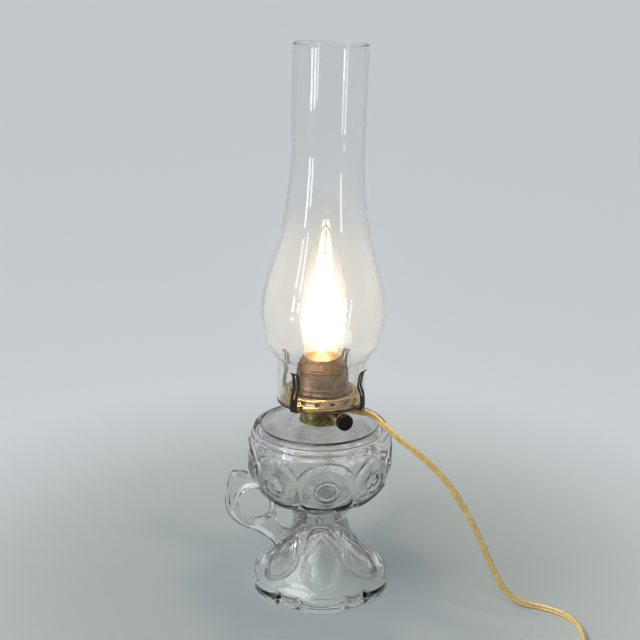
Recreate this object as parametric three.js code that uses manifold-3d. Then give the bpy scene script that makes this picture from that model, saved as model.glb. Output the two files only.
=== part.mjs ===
// Electrified oil lamp: a pressed-glass finger lamp whose oil burner has given way to an electric one.
// Millimetres, +Z up. The origin lies on the table, below the middle of the lamp's outline.
import * as THREE from 'three';
import { mergeVertices } from 'three/addons/utils/BufferGeometryUtils.js';
import Module from 'manifold-3d';

const wasm = await Module();
wasm.setup();

// Clearances and counts that many pieces share
const seatGap = 0.3;
const cutOverrun = 3;
const degree = Math.PI / 180;
const fullTurn = 2 * Math.PI;
const quarterTurn = Math.PI / 2;

// Pressed glass: pedestal, font and handle
const footRimHeight = 12.6;
const footRestWidth = 5.5;
const footGrooveDepth = 0.7;
const pedestalHeight = 77.6;
const neckCornerRadius = 23.5;
const footLobeDip = 2.8;
const lobeCount = 6;
const pedestalTurn = 2 * degree;
const teardropRelief = 1.3;
const pedestalSegments = 60;

const fontRadius = 64.7;
const footInset = 0.8;
const fontHeight = 78.4;
const fontWall = 5;
const fontFloor = 6;
const fontNeckRadius = 13.6;
const fontNeckWall = 2.8;
const fontNeckRise = 3.6;
const fontTopRadius = 57.5;
const fontTopFall = 2.6;
const jointWidth = 1.1;
const medallionCount = 8;
const medallionRadius = 31.2;
const medallionHeightShare = 0.46;
const medallionRelief = 1.5;
const bullseyeRadius = 7.4;
const bullseyeRelief = 1.9;
const medallionTurn = 5.5 * degree;
const fontSegments = 64;

const handleProud = 20.8;
const handleSpan = 85.5;
const handleTop = 107.7;
const handleWidth = 13;
const handleBar = 12.2;
const handleBevel = 3;
const fingerHoleWidth = 28.4;
const fingerHoleHeight = 30.2;

// Brass collar and the burner's lean, which the plaster under the collar takes up
const burnerLean = 1.6 * degree;
const collarRadius = 17.6;
const collarWall = 1;
const collarHeight = 8.4;
const collarBead = 0.6;

// Burner
const baseWall = 1;
const drumRadius = 18.6;
const drumHeight = 10.2;
const baseFlangeRadius = 30;
const stubDepth = 4.2;
const sheet = 0.8;
const seatRingRadius = 39.4;
const seatRingBore = 26;
const prongCount = 4;
const prongHeight = 35;
const prongWidth = 6.2;
const prongThickness = 0.9;
const prongSlot = 2.2;
const prongRoot = 8;
const prongTurn = -33 * degree;
const prongBow = 3.6;
const galleryRadius = 35.3;
const galleryHeight = 9.6;
const galleryBore = 19.2;
const galleryThroat = 27;
const airHoleCount = 16;
const airHoleRadius = 1.7;
const domeFlangeRadius = 27.8;
const domeRadius = 22.9;
const domeHeight = 29.2;
const domeMouthRadius = 16.9;

// Lampholder
const holderRadius = 15.9;
const holderHeight = 18.6;
const shellBore = 13.45;
const shellWall = 0.5;
const shellHeight = 23.6;
const linerWall = 0.7;
const linerHeight = 25;
const linerAir = 0.4;
const contactWidth = 7;
const contactRise = 2.4;
const contactThickness = 0.6;
const terminalHeadRadius = 2.8;
const terminalHead = 1.1;
const terminalShank = 1.4;
const terminalDepth = 4.5;
const terminalRise = 8.5;
const terminalTurn = 102 * degree;

// Turn switch
const switchTurn = 28 * degree;
const switchRise = 4.3;
const shaftRadius = 1.5;
const shaftPlay = 0.35;
const camRadius = 2.2;
const camLength = 4;
const camDistance = 4;
const sleeveNeckRadius = 4;
const sleeveRadius = 6.1;
const sleeveBodyLength = 9.4;
const knobRadius = 7.1;
const knobLength = 6.6;
const knobFace = 47;
const knobFlutes = 14;
const knobFluteDepth = 0.35;

// Bulb
const capRadius = 13.05;
const capHeight = 20.4;
const capWall = 0.4;
const capContactRadius = 4.8;
const capContactHeight = 1.3;
const capInsulatorHeight = 3.4;
const bulbRadius = 20.2;
const bulbGlassHeight = 123.4;
const bulbWall = 0.8;
const bulbNeckDepth = 5;
const stemTubeHeight = 23.184;
const stemRadius = 2.6;
const stemRodRadius = 0.8;
const anchorRadius = 2.7;
const anchorThickness = 1.4;
const filamentCount = 4;
const filamentRadius = 0.95;
const filamentLength = 66;
const filamentFootRise = 30.6;
const filamentSpread = 9.4;
const leadRadius = 0.45;

// Glass chimney
const chimneyHeight = 303.6;
const chimneyFitterRadius = 38.1;
const chimneyBellyRadius = 53.1;
const chimneyThroatRadius = 30.3;
const chimneyMouthRadius = 31.1;
const chimneyWall = 2;
const chimneySegments = 24;

// Cord, its coil and its plug
const cordDiameter = 5.6;
const cordExitTurn = 76 * degree;
const cordExitSlope = 6 * degree;
const cordExitRise = 4.6;
const reliefRadius = 3.9;
const reliefNeckRadius = 3.3;
const reliefTipRadius = 3;
const reliefLength = 21;
const cordSteps = 36;
const coilTurns = 6.25;
const coilMiddleRadius = 33.6;
const coilGap = 0.55;
const coilLift = 0.05;
const coilEndRun = 36;
const plugLength = 27;
const plugWidth = 24;
const plugThickness = 17.8;
const plugBevel = 2.6;
const plugTailWidth = 10;
const bladeGauge = 1.5;
const bladeReach = 17.5;
const bladeSeat = 6;
const bladeSpacing = 12.7;
const neutralBladeWidth = 7.9;
const lineBladeWidth = 6.3;

// The cord's route, from the tip of its strain relief to the start of its coil
const cordRoute = [
  [50.5, -9.9, 167.0], [55.4, -11.6, 165.8], [61.2, -15.2, 162.2], [68.4, -19.8, 156.6], [80.4, -25.2, 147.3],
  [93.6, -29.6, 137.9], [106.9, -33.2, 127.0], [118.8, -36.2, 114.4], [128.4, -38.2, 101.0],
  [136.4, -39.6, 87.6], [143.8, -41.0, 73.6], [150.8, -42.2, 58.8], [157.4, -43.4, 43.8], [164.0, -44.8, 29.4],
  [171.2, -46.4, 17.2], [179.6, -48.2, 8.6], [189.4, -50.6, 4.2], [200.4, -54.0, 3.0], [212.0, -59.6, 2.9],
  [221.6, -68.2, 2.9], [228.0, -79.6, 2.9], [230.8, -93.0, 2.9], [230.4, -108.0, 2.9], [228.6, -124.0, 2.9],
  [226.9, -140.0, 2.9], [226.1, -154.0, 2.9], [226.0, -162.0, 2.9], [226.0, -167.0, 2.9],
];

// Heights that follow from the sizes
const fontBase = pedestalHeight + seatGap;
const fontTop = fontBase + fontHeight;
const fontWallRadius = fontRadius - medallionRelief;
const footRadius = fontRadius - footInset;
const jointRadius = neckCornerRadius + jointWidth;
const handleReach = fontRadius + handleProud;
const lampAxis = handleProud / 2;
// Above the font's top, measured along the leaning axis
const collarFoot = seatGap + (collarRadius + collarBead) * Math.sin(burnerLean);
const collarTop = collarFoot + collarHeight;
const drumFoot = collarTop + seatGap;
const drumTop = drumFoot + drumHeight;
const ringFoot = drumTop + seatGap;
const ringTop = ringFoot + sheet;
const galleryFoot = ringTop + seatGap;
const galleryTop = galleryFoot + galleryHeight;
const domeFoot = galleryTop + seatGap;
const domeTop = domeFoot + domeHeight;
const holderFoot = drumFoot + baseWall + seatGap;
const holderTop = holderFoot + holderHeight;
const shellFoot = holderTop + seatGap;
const contactTop = shellFoot + contactRise;
const capContactFoot = contactTop + seatGap;
const capInsulatorFoot = capContactFoot + capContactHeight + seatGap;
const capFoot = capInsulatorFoot + capInsulatorHeight + seatGap;
const capTop = capFoot + capHeight;
const bulbFoot = capTop - bulbNeckDepth;
const bulbTip = capTop + bulbGlassHeight - bulbNeckDepth;
const chimneyFoot = ringTop + seatGap;
const switchHeight = drumFoot + switchRise;
const cordExitHeight = drumFoot + cordExitRise;
const stubFoot = collarTop - stubDepth;

// Finishes
const glassFinish = { color: 0xe8eef0, roughness: 0.04, metalness: 0, transparent: true, opacity: 0.4 };
const finishes = {
  pressedGlass: new THREE.MeshStandardMaterial(glassFinish),
  blownGlass: new THREE.MeshStandardMaterial({ ...glassFinish, opacity: 0.22 }),
  brass: new THREE.MeshStandardMaterial({ color: 0xc9a24a, roughness: 0.28, metalness: 1 }),
  agedBrass: new THREE.MeshStandardMaterial({ color: 0x7a5a3c, roughness: 0.5, metalness: 1 }),
  blackSteel: new THREE.MeshStandardMaterial({ color: 0x1c1a1a, roughness: 0.45, metalness: 0.6 }),
  copper: new THREE.MeshStandardMaterial({ color: 0xb87a5c, roughness: 0.3, metalness: 1 }),
  steel: new THREE.MeshStandardMaterial({ color: 0xb9bcc0, roughness: 0.35, metalness: 1 }),
  blackPlastic: new THREE.MeshStandardMaterial({ color: 0x101012, roughness: 0.35, metalness: 0 }),
  plaster: new THREE.MeshStandardMaterial({ color: 0xd8d2c4, roughness: 0.9, metalness: 0 }),
  fibre: new THREE.MeshStandardMaterial({ color: 0x3a3733, roughness: 0.85, metalness: 0 }),
  filament: new THREE.MeshStandardMaterial({ color: 0xffd27a, roughness: 0.4, emissive: 0xffb040 }),
  cord: new THREE.MeshStandardMaterial({ color: 0xc9a85a, roughness: 0.3, metalness: 0 }),
};

const lamp = new THREE.Group();
const glassware = new THREE.Group();
glassware.position.x = lampAxis;
const burner = new THREE.Group();
burner.position.set(lampAxis, 0, fontTop);
burner.rotation.y = burnerLean;
lamp.add(glassware, burner);

function addPiece(parent, name, geometry, finish) {
  const mesh = new THREE.Mesh(geometry, finish);
  mesh.name = name;
  parent.add(mesh);
  return mesh;
}

// Turns a closed geometry into a solid that can be cut and joined
function solidFrom(geometry) {
  const bare = geometry.clone();
  bare.deleteAttribute('normal');
  bare.deleteAttribute('uv');
  const merged = mergeVertices(bare, 1e-4 * seatGap);
  const index = merged.index.array;
  const corners = [];
  for (let i = 0; i < index.length; i += 3) {
    const [a, b, c] = [index[i], index[i + 1], index[i + 2]];
    if (a !== b && b !== c && c !== a) corners.push(a, b, c);
  }
  return new wasm.Manifold(new wasm.Mesh({
    numProp: 3,
    vertProperties: new Float32Array(merged.attributes.position.array),
    triVerts: new Uint32Array(corners),
  }));
}

function geometryFrom(solid) {
  const mesh = solid.getMesh();
  const geometry = new THREE.BufferGeometry();
  geometry.setAttribute('position', new THREE.BufferAttribute(mesh.vertProperties, 3));
  geometry.setIndex(new THREE.BufferAttribute(mesh.triVerts, 1));
  geometry.computeVertexNormals();
  return geometry;
}

function cut(body, ...tools) {
  return geometryFrom(tools.reduce((solid, tool) => solid.subtract(solidFrom(tool)), solidFrom(body)));
}

// A profile of [radius, height] points moved outwards, away from its material
function offsetProfile(profile, distance) {
  return profile.map(([radius, height], i) => {
    const [r0, z0] = profile[Math.max(i - 1, 0)];
    const [r1, z1] = profile[Math.min(i + 1, profile.length - 1)];
    const length = Math.hypot(r1 - r0, z1 - z0);
    const movedRadius = radius + (distance * (z1 - z0)) / length;
    return [Math.max(0, movedRadius), height - (distance * (r1 - r0)) / length];
  });
}

// A wall of even thickness under an outer profile
function wallProfile(outer, thickness) {
  const inner = offsetProfile(outer, -thickness).reverse();
  return [...outer, ...inner, outer[0]];
}

// Spins a profile round the vertical axis, azimuth 0 towards the viewer and rising to the right.
// The profile runs up the outside and down the inside. The relief moves its points outwards.
function revolve(profile, segments, relief) {
  const geometry = new THREE.LatheGeometry(profile.map(([r, z]) => new THREE.Vector2(r, z)), segments);
  if (relief) {
    const { position, uv } = geometry.attributes;
    for (let i = 0; i < position.count; i++) {
      const row = Math.round(uv.getY(i) * (profile.length - 1));
      const azimuth = uv.getX(i) * fullTurn;
      const radius = profile[row][0] + relief(row, azimuth, ...profile[row]);
      position.setX(i, radius * Math.sin(azimuth));
      position.setZ(i, radius * Math.cos(azimuth));
    }
  }
  return geometry.rotateX(quarterTurn);
}

function tube(outer, inner, foot, top, segments) {
  return revolve([[inner, foot], [outer, foot], [outer, top], [inner, top], [inner, foot]], segments);
}

function rod(radius, foot, top, segments) {
  return revolve([[0, foot], [radius, foot], [radius, top], [0, top]], segments);
}

// Points on a smooth curve through the given [radius, height] points
function smoothProfile(points, count) {
  const curve = new THREE.SplineCurve(points.map(([r, z]) => new THREE.Vector2(r, z)));
  return curve.getSpacedPoints(count).map((point) => [point.x, point.y]);
}

function smoothStep(from, to, value) {
  return THREE.MathUtils.smoothstep(value, from, to);
}

// A rounded ridge that stands highest at the middle and ends a half width away
function ridge(distance, halfWidth) {
  return Math.abs(distance) < halfWidth ? Math.cos((distance / halfWidth) * quarterTurn) ** 2 : 0;
}

// The azimuth within one of so many equal sectors, zero at the sector's middle
function sectorAngle(azimuth, count, turn) {
  const sector = fullTurn / count;
  return THREE.MathUtils.euclideanModulo(azimuth - turn + sector / 2, sector) - sector / 2;
}

// Lays a geometry that was made along +Z onto a level direction at the given azimuth
function layAlong(geometry, azimuth, height, slope) {
  return geometry
    .rotateX(quarterTurn + slope)
    .rotateZ(azimuth)
    .translate(0, 0, height);
}

// Pedestal: a hexagonal stem that flares into a hollow foot with a lobed rim
const footSlopeShares = [
  [0.95, 0], [0.84, 0.042], [0.663, 0.114], [0.506, 0.206], [0.363, 0.298], [0.216, 0.429],
  [0.107, 0.575], [0.03, 0.72], [0, 0.82], [0, 0.93],
];
const footHollowShares = [[0.76, 0.14], [0.52, 0.29], [0.34, 0.46], [0.16, 0.66], [0, 0.7]];

function footLobe(azimuth) {
  const largeLobeHalf = 18 * degree;
  const smallLobeHalf = 12 * degree;
  const smallLobeShare = 0.45;
  const off = Math.abs(sectorAngle(azimuth, lobeCount, pedestalTurn));
  if (off < largeLobeHalf) return -footLobeDip * (off / largeLobeHalf) ** 2;
  const fromSmall = Math.abs(off - largeLobeHalf - smallLobeHalf) / smallLobeHalf;
  return -footLobeDip * (smallLobeShare + (1 - smallLobeShare) * fromSmall ** 2);
}

function hexagonDip(azimuth, radius) {
  const off = sectorAngle(azimuth, lobeCount, pedestalTurn);
  return radius * (Math.cos(fullTurn / lobeCount / 2) / Math.cos(off) - 1);
}

// A raised teardrop outline on each panel of the foot, its round end above the rim
function teardropLift(azimuth, radius, height) {
  const climb = (height - footRimHeight) / (pedestalHeight - footRimHeight);
  const [roundEndShare, tipShare, widthShare, ridgeShare] = [0.16, 0.72, 0.3, 0.07];
  if (climb < 0 || climb > tipShare) return 0;
  const bodyShare = climb < roundEndShare
    ? Math.sqrt(1 - ((roundEndShare - climb) / roundEndShare) ** 2)
    : Math.cos(((climb - roundEndShare) / (tipShare - roundEndShare)) * quarterTurn);
  const across = Math.abs(sectorAngle(azimuth, lobeCount, pedestalTurn)) * radius;
  return teardropRelief * ridge(across - footRadius * widthShare * bodyShare, footRadius * ridgeShare);
}

// The pedestal's outside, filled. Grown, it is the tool that seats another piece against it.
function pedestalBody(growth = 0) {
  const rimEdge = footRimHeight / 6;
  const slope = smoothProfile(footSlopeShares.map(([radial, climb]) => [
    neckCornerRadius + (footRadius - neckCornerRadius) * radial,
    footRimHeight + (pedestalHeight - footRimHeight) * climb,
  ]), 10);
  const profile = [
    [0, 0], [footRadius - rimEdge, 0], [footRadius, rimEdge], [footRadius - footGrooveDepth, 2 * rimEdge],
    [footRadius, 3 * rimEdge], [footRadius, footRimHeight - rimEdge], ...slope,
    [jointRadius, pedestalHeight - rimEdge], [jointRadius, pedestalHeight], [0, pedestalHeight],
  ];
  const lastCarved = profile.length - 4;
  return revolve(offsetProfile(profile, growth), pedestalSegments, (row, azimuth, radius, height) => {
    if (row < 1 || row > lastCarved) return 0;
    const lobe = footLobe(azimuth) * (1 - smoothStep(footRimHeight, 1.6 * footRimHeight, height));
    const hexagonal = smoothStep(0.5 * pedestalHeight, 0.78 * pedestalHeight, height);
    return lobe + hexagonal * hexagonDip(azimuth, radius) + teardropLift(azimuth, radius, height);
  });
}

function pedestalGeometry() {
  const restEdge = footRadius - footRestWidth;
  const hollow = revolve([
    [0, -cutOverrun], [restEdge, -cutOverrun], [restEdge, footRimHeight / 3],
    ...footHollowShares.map(([radial, rise]) => [footRadius * radial, pedestalHeight * rise]),
  ], 36);
  return cut(pedestalBody(), hollow);
}

// Font: the bowl with its ring of bull's-eye medallions, its hollow and its neck
const fontWallShares = [
  [0.4, 0.006], [0.5, 0.03], [0.615, 0.075], [0.72, 0.13], [0.81, 0.19], [0.89, 0.265], [0.945, 0.345],
  [0.98, 0.435], [1, 0.55], [1, 0.68], [0.99, 0.78], [0.965, 0.875],
];
const fontHollowShares = [[0.4, 0.09], [0.66, 0.15], [0.86, 0.27], [0.97, 0.44], [1, 0.64], [0.98, 0.86]];

function medallionLift(azimuth, radius, height) {
  const middle = fontBase + fontHeight * medallionHeightShare;
  const across = sectorAngle(azimuth, medallionCount, medallionTurn) * radius;
  const distance = Math.hypot(across, height - middle, radius - fontWallRadius);
  const ringHalfWidth = medallionRadius / 6;
  const dome = distance < bullseyeRadius ? bullseyeRelief * Math.sqrt(1 - (distance / bullseyeRadius) ** 2) : 0;
  return dome + medallionRelief * ridge(distance - medallionRadius + ringHalfWidth, ringHalfWidth);
}

// The font's outside, filled. Grown, it is the tool that seats another piece against it.
function fontBody(growth = 0) {
  const wall = smoothProfile(
    fontWallShares.map(([radial, rise]) => [fontWallRadius * radial, fontBase + fontHeight * rise]), 17,
  );
  const edge = fontTop - fontTopFall;
  const profile = [
    [0, fontBase], [jointRadius, fontBase], ...wall,
    [0.55 * fontWallRadius + 0.45 * fontTopRadius, edge - fontTopFall],
    [fontTopRadius, edge - 0.4 * fontTopFall], [fontTopRadius - 0.6 * fontTopFall, edge],
    [collarRadius + 3 * collarBead + fontTopFall, fontTop], [0, fontTop],
  ];
  const lastWall = 1 + wall.length;
  return revolve(offsetProfile(profile, growth), fontSegments, (row, azimuth, radius, height) => (
    row > 1 && row <= lastWall ? medallionLift(azimuth, radius, height) : 0
  ));
}

function fontGeometry() {
  const innerRadius = fontWallRadius - fontWall;
  const neckBore = fontNeckRadius - fontNeckWall;
  const neckTop = fontTop + fontNeckRise;
  const ceiling = fontTop - fontWall;
  const neck = rod(fontNeckRadius, ceiling, neckTop, 28);
  const hollow = revolve([
    [0, fontBase + fontFloor],
    ...fontHollowShares.map(([radial, rise]) => [innerRadius * radial, fontBase + fontHeight * rise]),
    [0.8 * innerRadius, ceiling - fontTopFall], [neckBore, ceiling], [neckBore, neckTop + cutOverrun],
    [0, neckTop + cutOverrun],
  ], 28);
  return geometryFrom(solidFrom(fontBody()).add(solidFrom(neck)).subtract(solidFrom(hollow)));
}

// Handle: its outline as shares of its span, measured from where it reaches furthest, and of its top.
// It is cut to sit against the bowl and the foot.
const handleShares = [
  [0.917, 1], [0.952, 0.955], [0.966, 0.91], [0.992, 0.826], [1, 0.742], [0.992, 0.673], [0.963, 0.613],
  [0.894, 0.551], [0.823, 0.509], [0.737, 0.482], [0.648, 0.45], [0.578, 0.41], [0.517, 0.371], [0.474, 0.317],
  [0.44, 0.25], [0.36, 0.21], [0.24, 0.38], [0.285, 0.455], [0.345, 0.468], [0.405, 0.485], [0.452, 0.535],
  [0.464, 0.6], [0.45, 0.655], [0.42, 0.7], [0.36, 0.76], [0.45, 0.85], [0.62, 0.965], [0.745, 0.976], [0.8, 1],
];

function handleGeometry() {
  const outline = new THREE.Shape(
    handleShares.map(([span, rise]) => (
      new THREE.Vector2(handleSpan - handleReach - handleSpan * span, handleTop * rise)
    )),
  );
  const holeMiddle = -handleReach + handleBar + fingerHoleWidth / 2;
  const holeHeight = handleTop * 0.709;
  const hole = new THREE.Path();
  hole.absellipse(holeMiddle, holeHeight, fingerHoleWidth / 2, fingerHoleHeight / 2, 0, fullTurn, true);
  outline.holes.push(hole);
  const geometry = new THREE.ExtrudeGeometry(outline, {
    depth: handleWidth - 2 * handleBevel,
    bevelThickness: handleBevel,
    bevelSize: handleBevel,
    bevelOffset: -handleBevel,
    bevelSegments: 1,
    curveSegments: 14,
  });
  geometry.translate(0, 0, handleBevel - handleWidth / 2).rotateX(quarterTurn);
  return cut(geometry, fontBody(seatGap), pedestalBody(seatGap));
}

addPiece(glassware, 'pedestal_foot', pedestalGeometry(), finishes.pressedGlass);
addPiece(glassware, 'font_bowl', fontGeometry(), finishes.pressedGlass);
addPiece(glassware, 'finger_handle', handleGeometry(), finishes.pressedGlass);

// Collar on its plaster
const collarBore = collarRadius - collarWall;
addPiece(burner, 'collar', revolve([
  [collarBore, collarFoot], [collarRadius + collarBead, collarFoot],
  [collarRadius + collarBead, collarFoot + 2 * collarBead], [collarRadius, collarFoot + 3 * collarBead],
  [collarRadius, collarFoot + 5 * collarBead], [collarRadius + collarBead, collarFoot + 6 * collarBead],
  [collarRadius, collarFoot + 7 * collarBead], [collarRadius, collarTop], [collarBore, collarTop],
  [collarBore, collarFoot],
], 22), finishes.brass);
const cementBore = fontNeckRadius + seatGap + fontNeckRise * Math.sin(burnerLean);
addPiece(burner, 'collar_cement', tube(collarBore - seatGap, cementBore, collarFoot, fontNeckRise, 18),
  finishes.plaster);

// Adapter body: the stub in the collar, the drum and the flange that carries the chimney seat
function levelRod(radius, from, to, azimuth, height, slope = 0, sides = 16) {
  return layAlong(rod(radius, from, to, sides), azimuth, height, slope);
}

const stubRadius = collarBore - seatGap;
const stubBore = stubRadius - baseWall;
const drumBore = drumRadius - baseWall;
const floorTop = drumFoot + baseWall;
const baseBlank = revolve([
  [stubBore, stubFoot], [stubRadius, stubFoot], [stubRadius, drumFoot], [drumRadius, drumFoot],
  [drumRadius, drumTop - sheet], [baseFlangeRadius, drumTop - sheet], [baseFlangeRadius, drumTop],
  [drumBore, drumTop], [drumBore, floorTop], [stubBore / 2, floorTop], [stubBore / 2, drumFoot],
  [stubBore, drumFoot], [stubBore, stubFoot],
], 24);
const shaftBore = shaftRadius + shaftPlay;
addPiece(burner, 'burner_base', cut(
  baseBlank,
  levelRod(shaftBore, drumBore - cutOverrun, drumRadius + cutOverrun, switchTurn, switchHeight, 0, 12),
  levelRod(reliefNeckRadius + seatGap, drumBore - cutOverrun, drumRadius + cutOverrun,
    cordExitTurn, cordExitHeight + drumRadius * Math.tan(cordExitSlope), cordExitSlope, 12),
), finishes.brass);

// Chimney seat with its slotted spring prongs
function bandShape(points, thickness) {
  const side = (distance) => offsetProfile(points, distance).map(([r, z]) => new THREE.Vector2(r, z));
  return new THREE.Shape([...side(thickness / 2), ...side(-thickness / 2).reverse()]);
}

function prong(azimuth) {
  const kink = chimneyFitterRadius + seatGap + prongThickness / 2;
  const foot = ringFoot + sheet / 2;
  const line = [
    [seatRingRadius - sheet, foot], [kink + 0.8 * prongBow, foot], [kink + prongBow, foot + 0.05 * prongHeight],
    [kink + prongBow, foot + 0.22 * prongHeight], [kink + 0.8 * prongBow, foot + 0.38 * prongHeight],
    [kink, foot + 0.58 * prongHeight], [kink + 0.12 * prongBow, foot + 0.7 * prongHeight],
    [kink + 0.35 * prongBow, foot + 0.86 * prongHeight], [kink + 0.75 * prongBow, foot + 0.96 * prongHeight],
    [kink + 1.3 * prongBow, foot + prongHeight],
  ];
  const band = new THREE.ExtrudeGeometry(bandShape(line, prongThickness), { depth: prongWidth, bevelEnabled: false });
  band.translate(0, 0, -prongWidth / 2).rotateX(quarterTurn).rotateZ(-quarterTurn);
  const slotFoot = foot + prongRoot;
  const slotTop = foot + prongHeight * 0.93;
  const slot = new THREE.BoxGeometry(prongSlot, 4 * prongBow, slotTop - slotFoot);
  slot.translate(0, -kink - prongBow, (slotFoot + slotTop) / 2);
  return geometryFrom(solidFrom(band).subtract(solidFrom(slot))).rotateZ(azimuth);
}

const seatRing = solidFrom(tube(seatRingRadius, seatRingBore, ringFoot, ringTop, 28));
const prongs = Array.from({ length: prongCount }, (_, i) => prong(prongTurn + (i * fullTurn) / prongCount));
addPiece(burner, 'prong_ring', geometryFrom(
  prongs.reduce((solid, geometry) => solid.add(solidFrom(geometry)), seatRing),
), finishes.blackSteel);

// Gallery: one folded sheet with a ring of air holes through its sloping band
const galleryOuter = [
  [galleryBore, galleryFoot], [galleryRadius - sheet, galleryFoot], [galleryRadius, galleryFoot + sheet],
  [galleryRadius - 1.6 * sheet, galleryFoot + 0.34 * galleryHeight],
  [galleryRadius - 3.4 * sheet, galleryFoot + 0.76 * galleryHeight],
  [galleryRadius - 3.6 * sheet, galleryFoot + 0.9 * galleryHeight],
  [galleryRadius - 4.6 * sheet, galleryTop], [galleryThroat, galleryTop],
];
const airHoles = Array.from({ length: airHoleCount }, (_, i) => levelRod(
  airHoleRadius, galleryRadius - 3.6 * sheet - cutOverrun, galleryRadius + cutOverrun,
  (i * fullTurn) / airHoleCount - 4.9 * degree, galleryFoot + 0.56 * galleryHeight, 0, 6,
));
addPiece(burner, 'gallery', cut(revolve(wallProfile(galleryOuter, sheet), 32), ...airHoles), finishes.brass);

// Bell over the lampholder
const domeShares = [
  [0.45, 0.075], [0.14, 0.125], [0, 0.22], [-0.05, 0.64], [0, 0.675], [-0.2, 0.75], [-0.52, 0.87],
  [-0.92, 0.965],
];
const domeOuter = [
  [domeFlangeRadius, domeFoot], [domeFlangeRadius, domeFoot + sheet],
  ...domeShares.map(([radial, rise]) => [
    domeRadius + radial * (radial > 0 ? domeFlangeRadius - domeRadius : domeRadius - domeMouthRadius),
    domeFoot + domeHeight * rise,
  ]),
  [domeMouthRadius, domeTop],
];
addPiece(burner, 'burner_dome', revolve(wallProfile(domeOuter, sheet), 22), finishes.agedBrass);

// Lampholder: a moulded body that holds the switch and the terminals, and the shell that takes the bulb
const pocketFloor = holderRadius - terminalDepth;
const terminalHeight = holderFoot + terminalRise;
const terminalSides = [-1, 1];
function atTerminal(geometry, side) {
  return geometry.rotateX(quarterTurn).translate(side * terminalHeadRadius * 1.6, 0, terminalHeight)
    .rotateZ(terminalTurn);
}
const pocketWidth = 6.6 * terminalHeadRadius;
const pocket = new THREE.BoxGeometry(pocketWidth, terminalDepth + cutOverrun, 2 * terminalRise - 2 * baseWall)
  .translate(0, -pocketFloor - (terminalDepth + cutOverrun) / 2, terminalHeight)
  .rotateZ(terminalTurn);
addPiece(burner, 'socket_insulator', cut(
  rod(holderRadius, holderFoot, holderTop, 26),
  levelRod(shaftBore, camDistance, holderRadius + cutOverrun, switchTurn, switchHeight, 0, 12),
  levelRod(camRadius + shaftPlay, camDistance - shaftPlay, camDistance + camLength + shaftPlay,
    switchTurn, switchHeight, 0, 12),
  pocket,
  ...terminalSides.map((side) => atTerminal(
    rod(terminalShank + seatGap, pocketFloor - terminalDepth - seatGap, pocketFloor + seatGap, 10), side,
  )),
), finishes.blackPlastic);

const terminalScrew = () => revolve([
  [0, pocketFloor - terminalDepth], [terminalShank, pocketFloor - terminalDepth],
  [terminalShank, pocketFloor + seatGap], [terminalHeadRadius, pocketFloor + seatGap],
  [terminalHeadRadius, pocketFloor + seatGap + terminalHead], [0, pocketFloor + seatGap + terminalHead],
], 12);
terminalSides.forEach((side, i) => {
  addPiece(burner, `terminal_screw_${i + 1}`, atTerminal(terminalScrew(), side), finishes.brass);
});

const shellRadius = shellBore + shellWall;
const shellFloorBore = contactWidth;
addPiece(burner, 'screw_shell', revolve([
  [shellFloorBore, shellFoot], [shellRadius, shellFoot], [shellRadius, shellFoot + shellHeight],
  [shellBore, shellFoot + shellHeight], [shellBore, shellFoot + shellWall],
  [shellFloorBore, shellFoot + shellWall], [shellFloorBore, shellFoot],
], 20), finishes.brass);
const linerBore = shellRadius + linerAir;
addPiece(burner, 'socket_liner', tube(linerBore + linerWall, linerBore, shellFoot, shellFoot + linerHeight, 20),
  finishes.fibre);

function contactGeometry() {
  const half = 0.78 * contactWidth;
  const arch = [
    [-half, shellFoot + contactThickness / 2], [-0.5 * half, shellFoot + contactThickness / 2],
    [-0.2 * half, contactTop - 0.7 * contactThickness], [0.2 * half, contactTop - 0.7 * contactThickness],
    [0.5 * half, contactTop - contactRise / 2], [half, contactTop - contactRise / 2],
  ];
  const strip = new THREE.Shape([
    ...arch.map(([x, z]) => new THREE.Vector2(x, z + contactThickness / 2)),
    ...arch.map(([x, z]) => new THREE.Vector2(x, z - contactThickness / 2)).reverse(),
  ]);
  const width = 0.6 * contactWidth;
  return new THREE.ExtrudeGeometry(strip, { depth: width, bevelEnabled: false })
    .translate(0, 0, -width / 2).rotateX(quarterTurn);
}
addPiece(burner, 'centre_contact', contactGeometry(), finishes.brass);

// Turn switch
const knobBack = knobFace - knobLength;
const knobBoreEnd = knobFace - 0.25 * knobLength;
const sleeveEnd = knobBack - seatGap;
const sleeveStart = sleeveEnd - sleeveBodyLength;
const switchPiece = (geometry) => layAlong(geometry, switchTurn, switchHeight, 0);
addPiece(burner, 'switch_shaft', switchPiece(revolve([
  [0, camDistance], [camRadius, camDistance], [camRadius, camDistance + camLength],
  [shaftRadius, camDistance + camLength], [shaftRadius, knobBoreEnd - seatGap], [0, knobBoreEnd - seatGap],
], 12)), finishes.steel);
addPiece(burner, 'knob_sleeve', switchPiece(revolve([
  [shaftBore, drumRadius + seatGap], [sleeveNeckRadius, drumRadius + seatGap], [sleeveNeckRadius, sleeveStart],
  [sleeveRadius, sleeveStart], [sleeveRadius, sleeveEnd], [shaftBore, sleeveEnd],
  [shaftBore, drumRadius + seatGap],
], 20)), finishes.copper);
const knobEdge = knobLength / 12;
addPiece(burner, 'switch_knob', switchPiece(revolve([
  [0, knobBoreEnd], [shaftRadius + seatGap, knobBoreEnd], [shaftRadius + seatGap, knobBack],
  [knobRadius - knobEdge, knobBack], [knobRadius, knobBack + knobEdge], [knobRadius, knobFace - knobEdge],
  [knobRadius - knobEdge, knobFace], [0, knobFace],
], 2 * knobFlutes, (row, azimuth, radius) => (
  radius > knobRadius - knobEdge / 2 ? (knobFluteDepth * (Math.cos(azimuth * knobFlutes) - 1)) / 2 : 0
))), finishes.blackPlastic);

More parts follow.
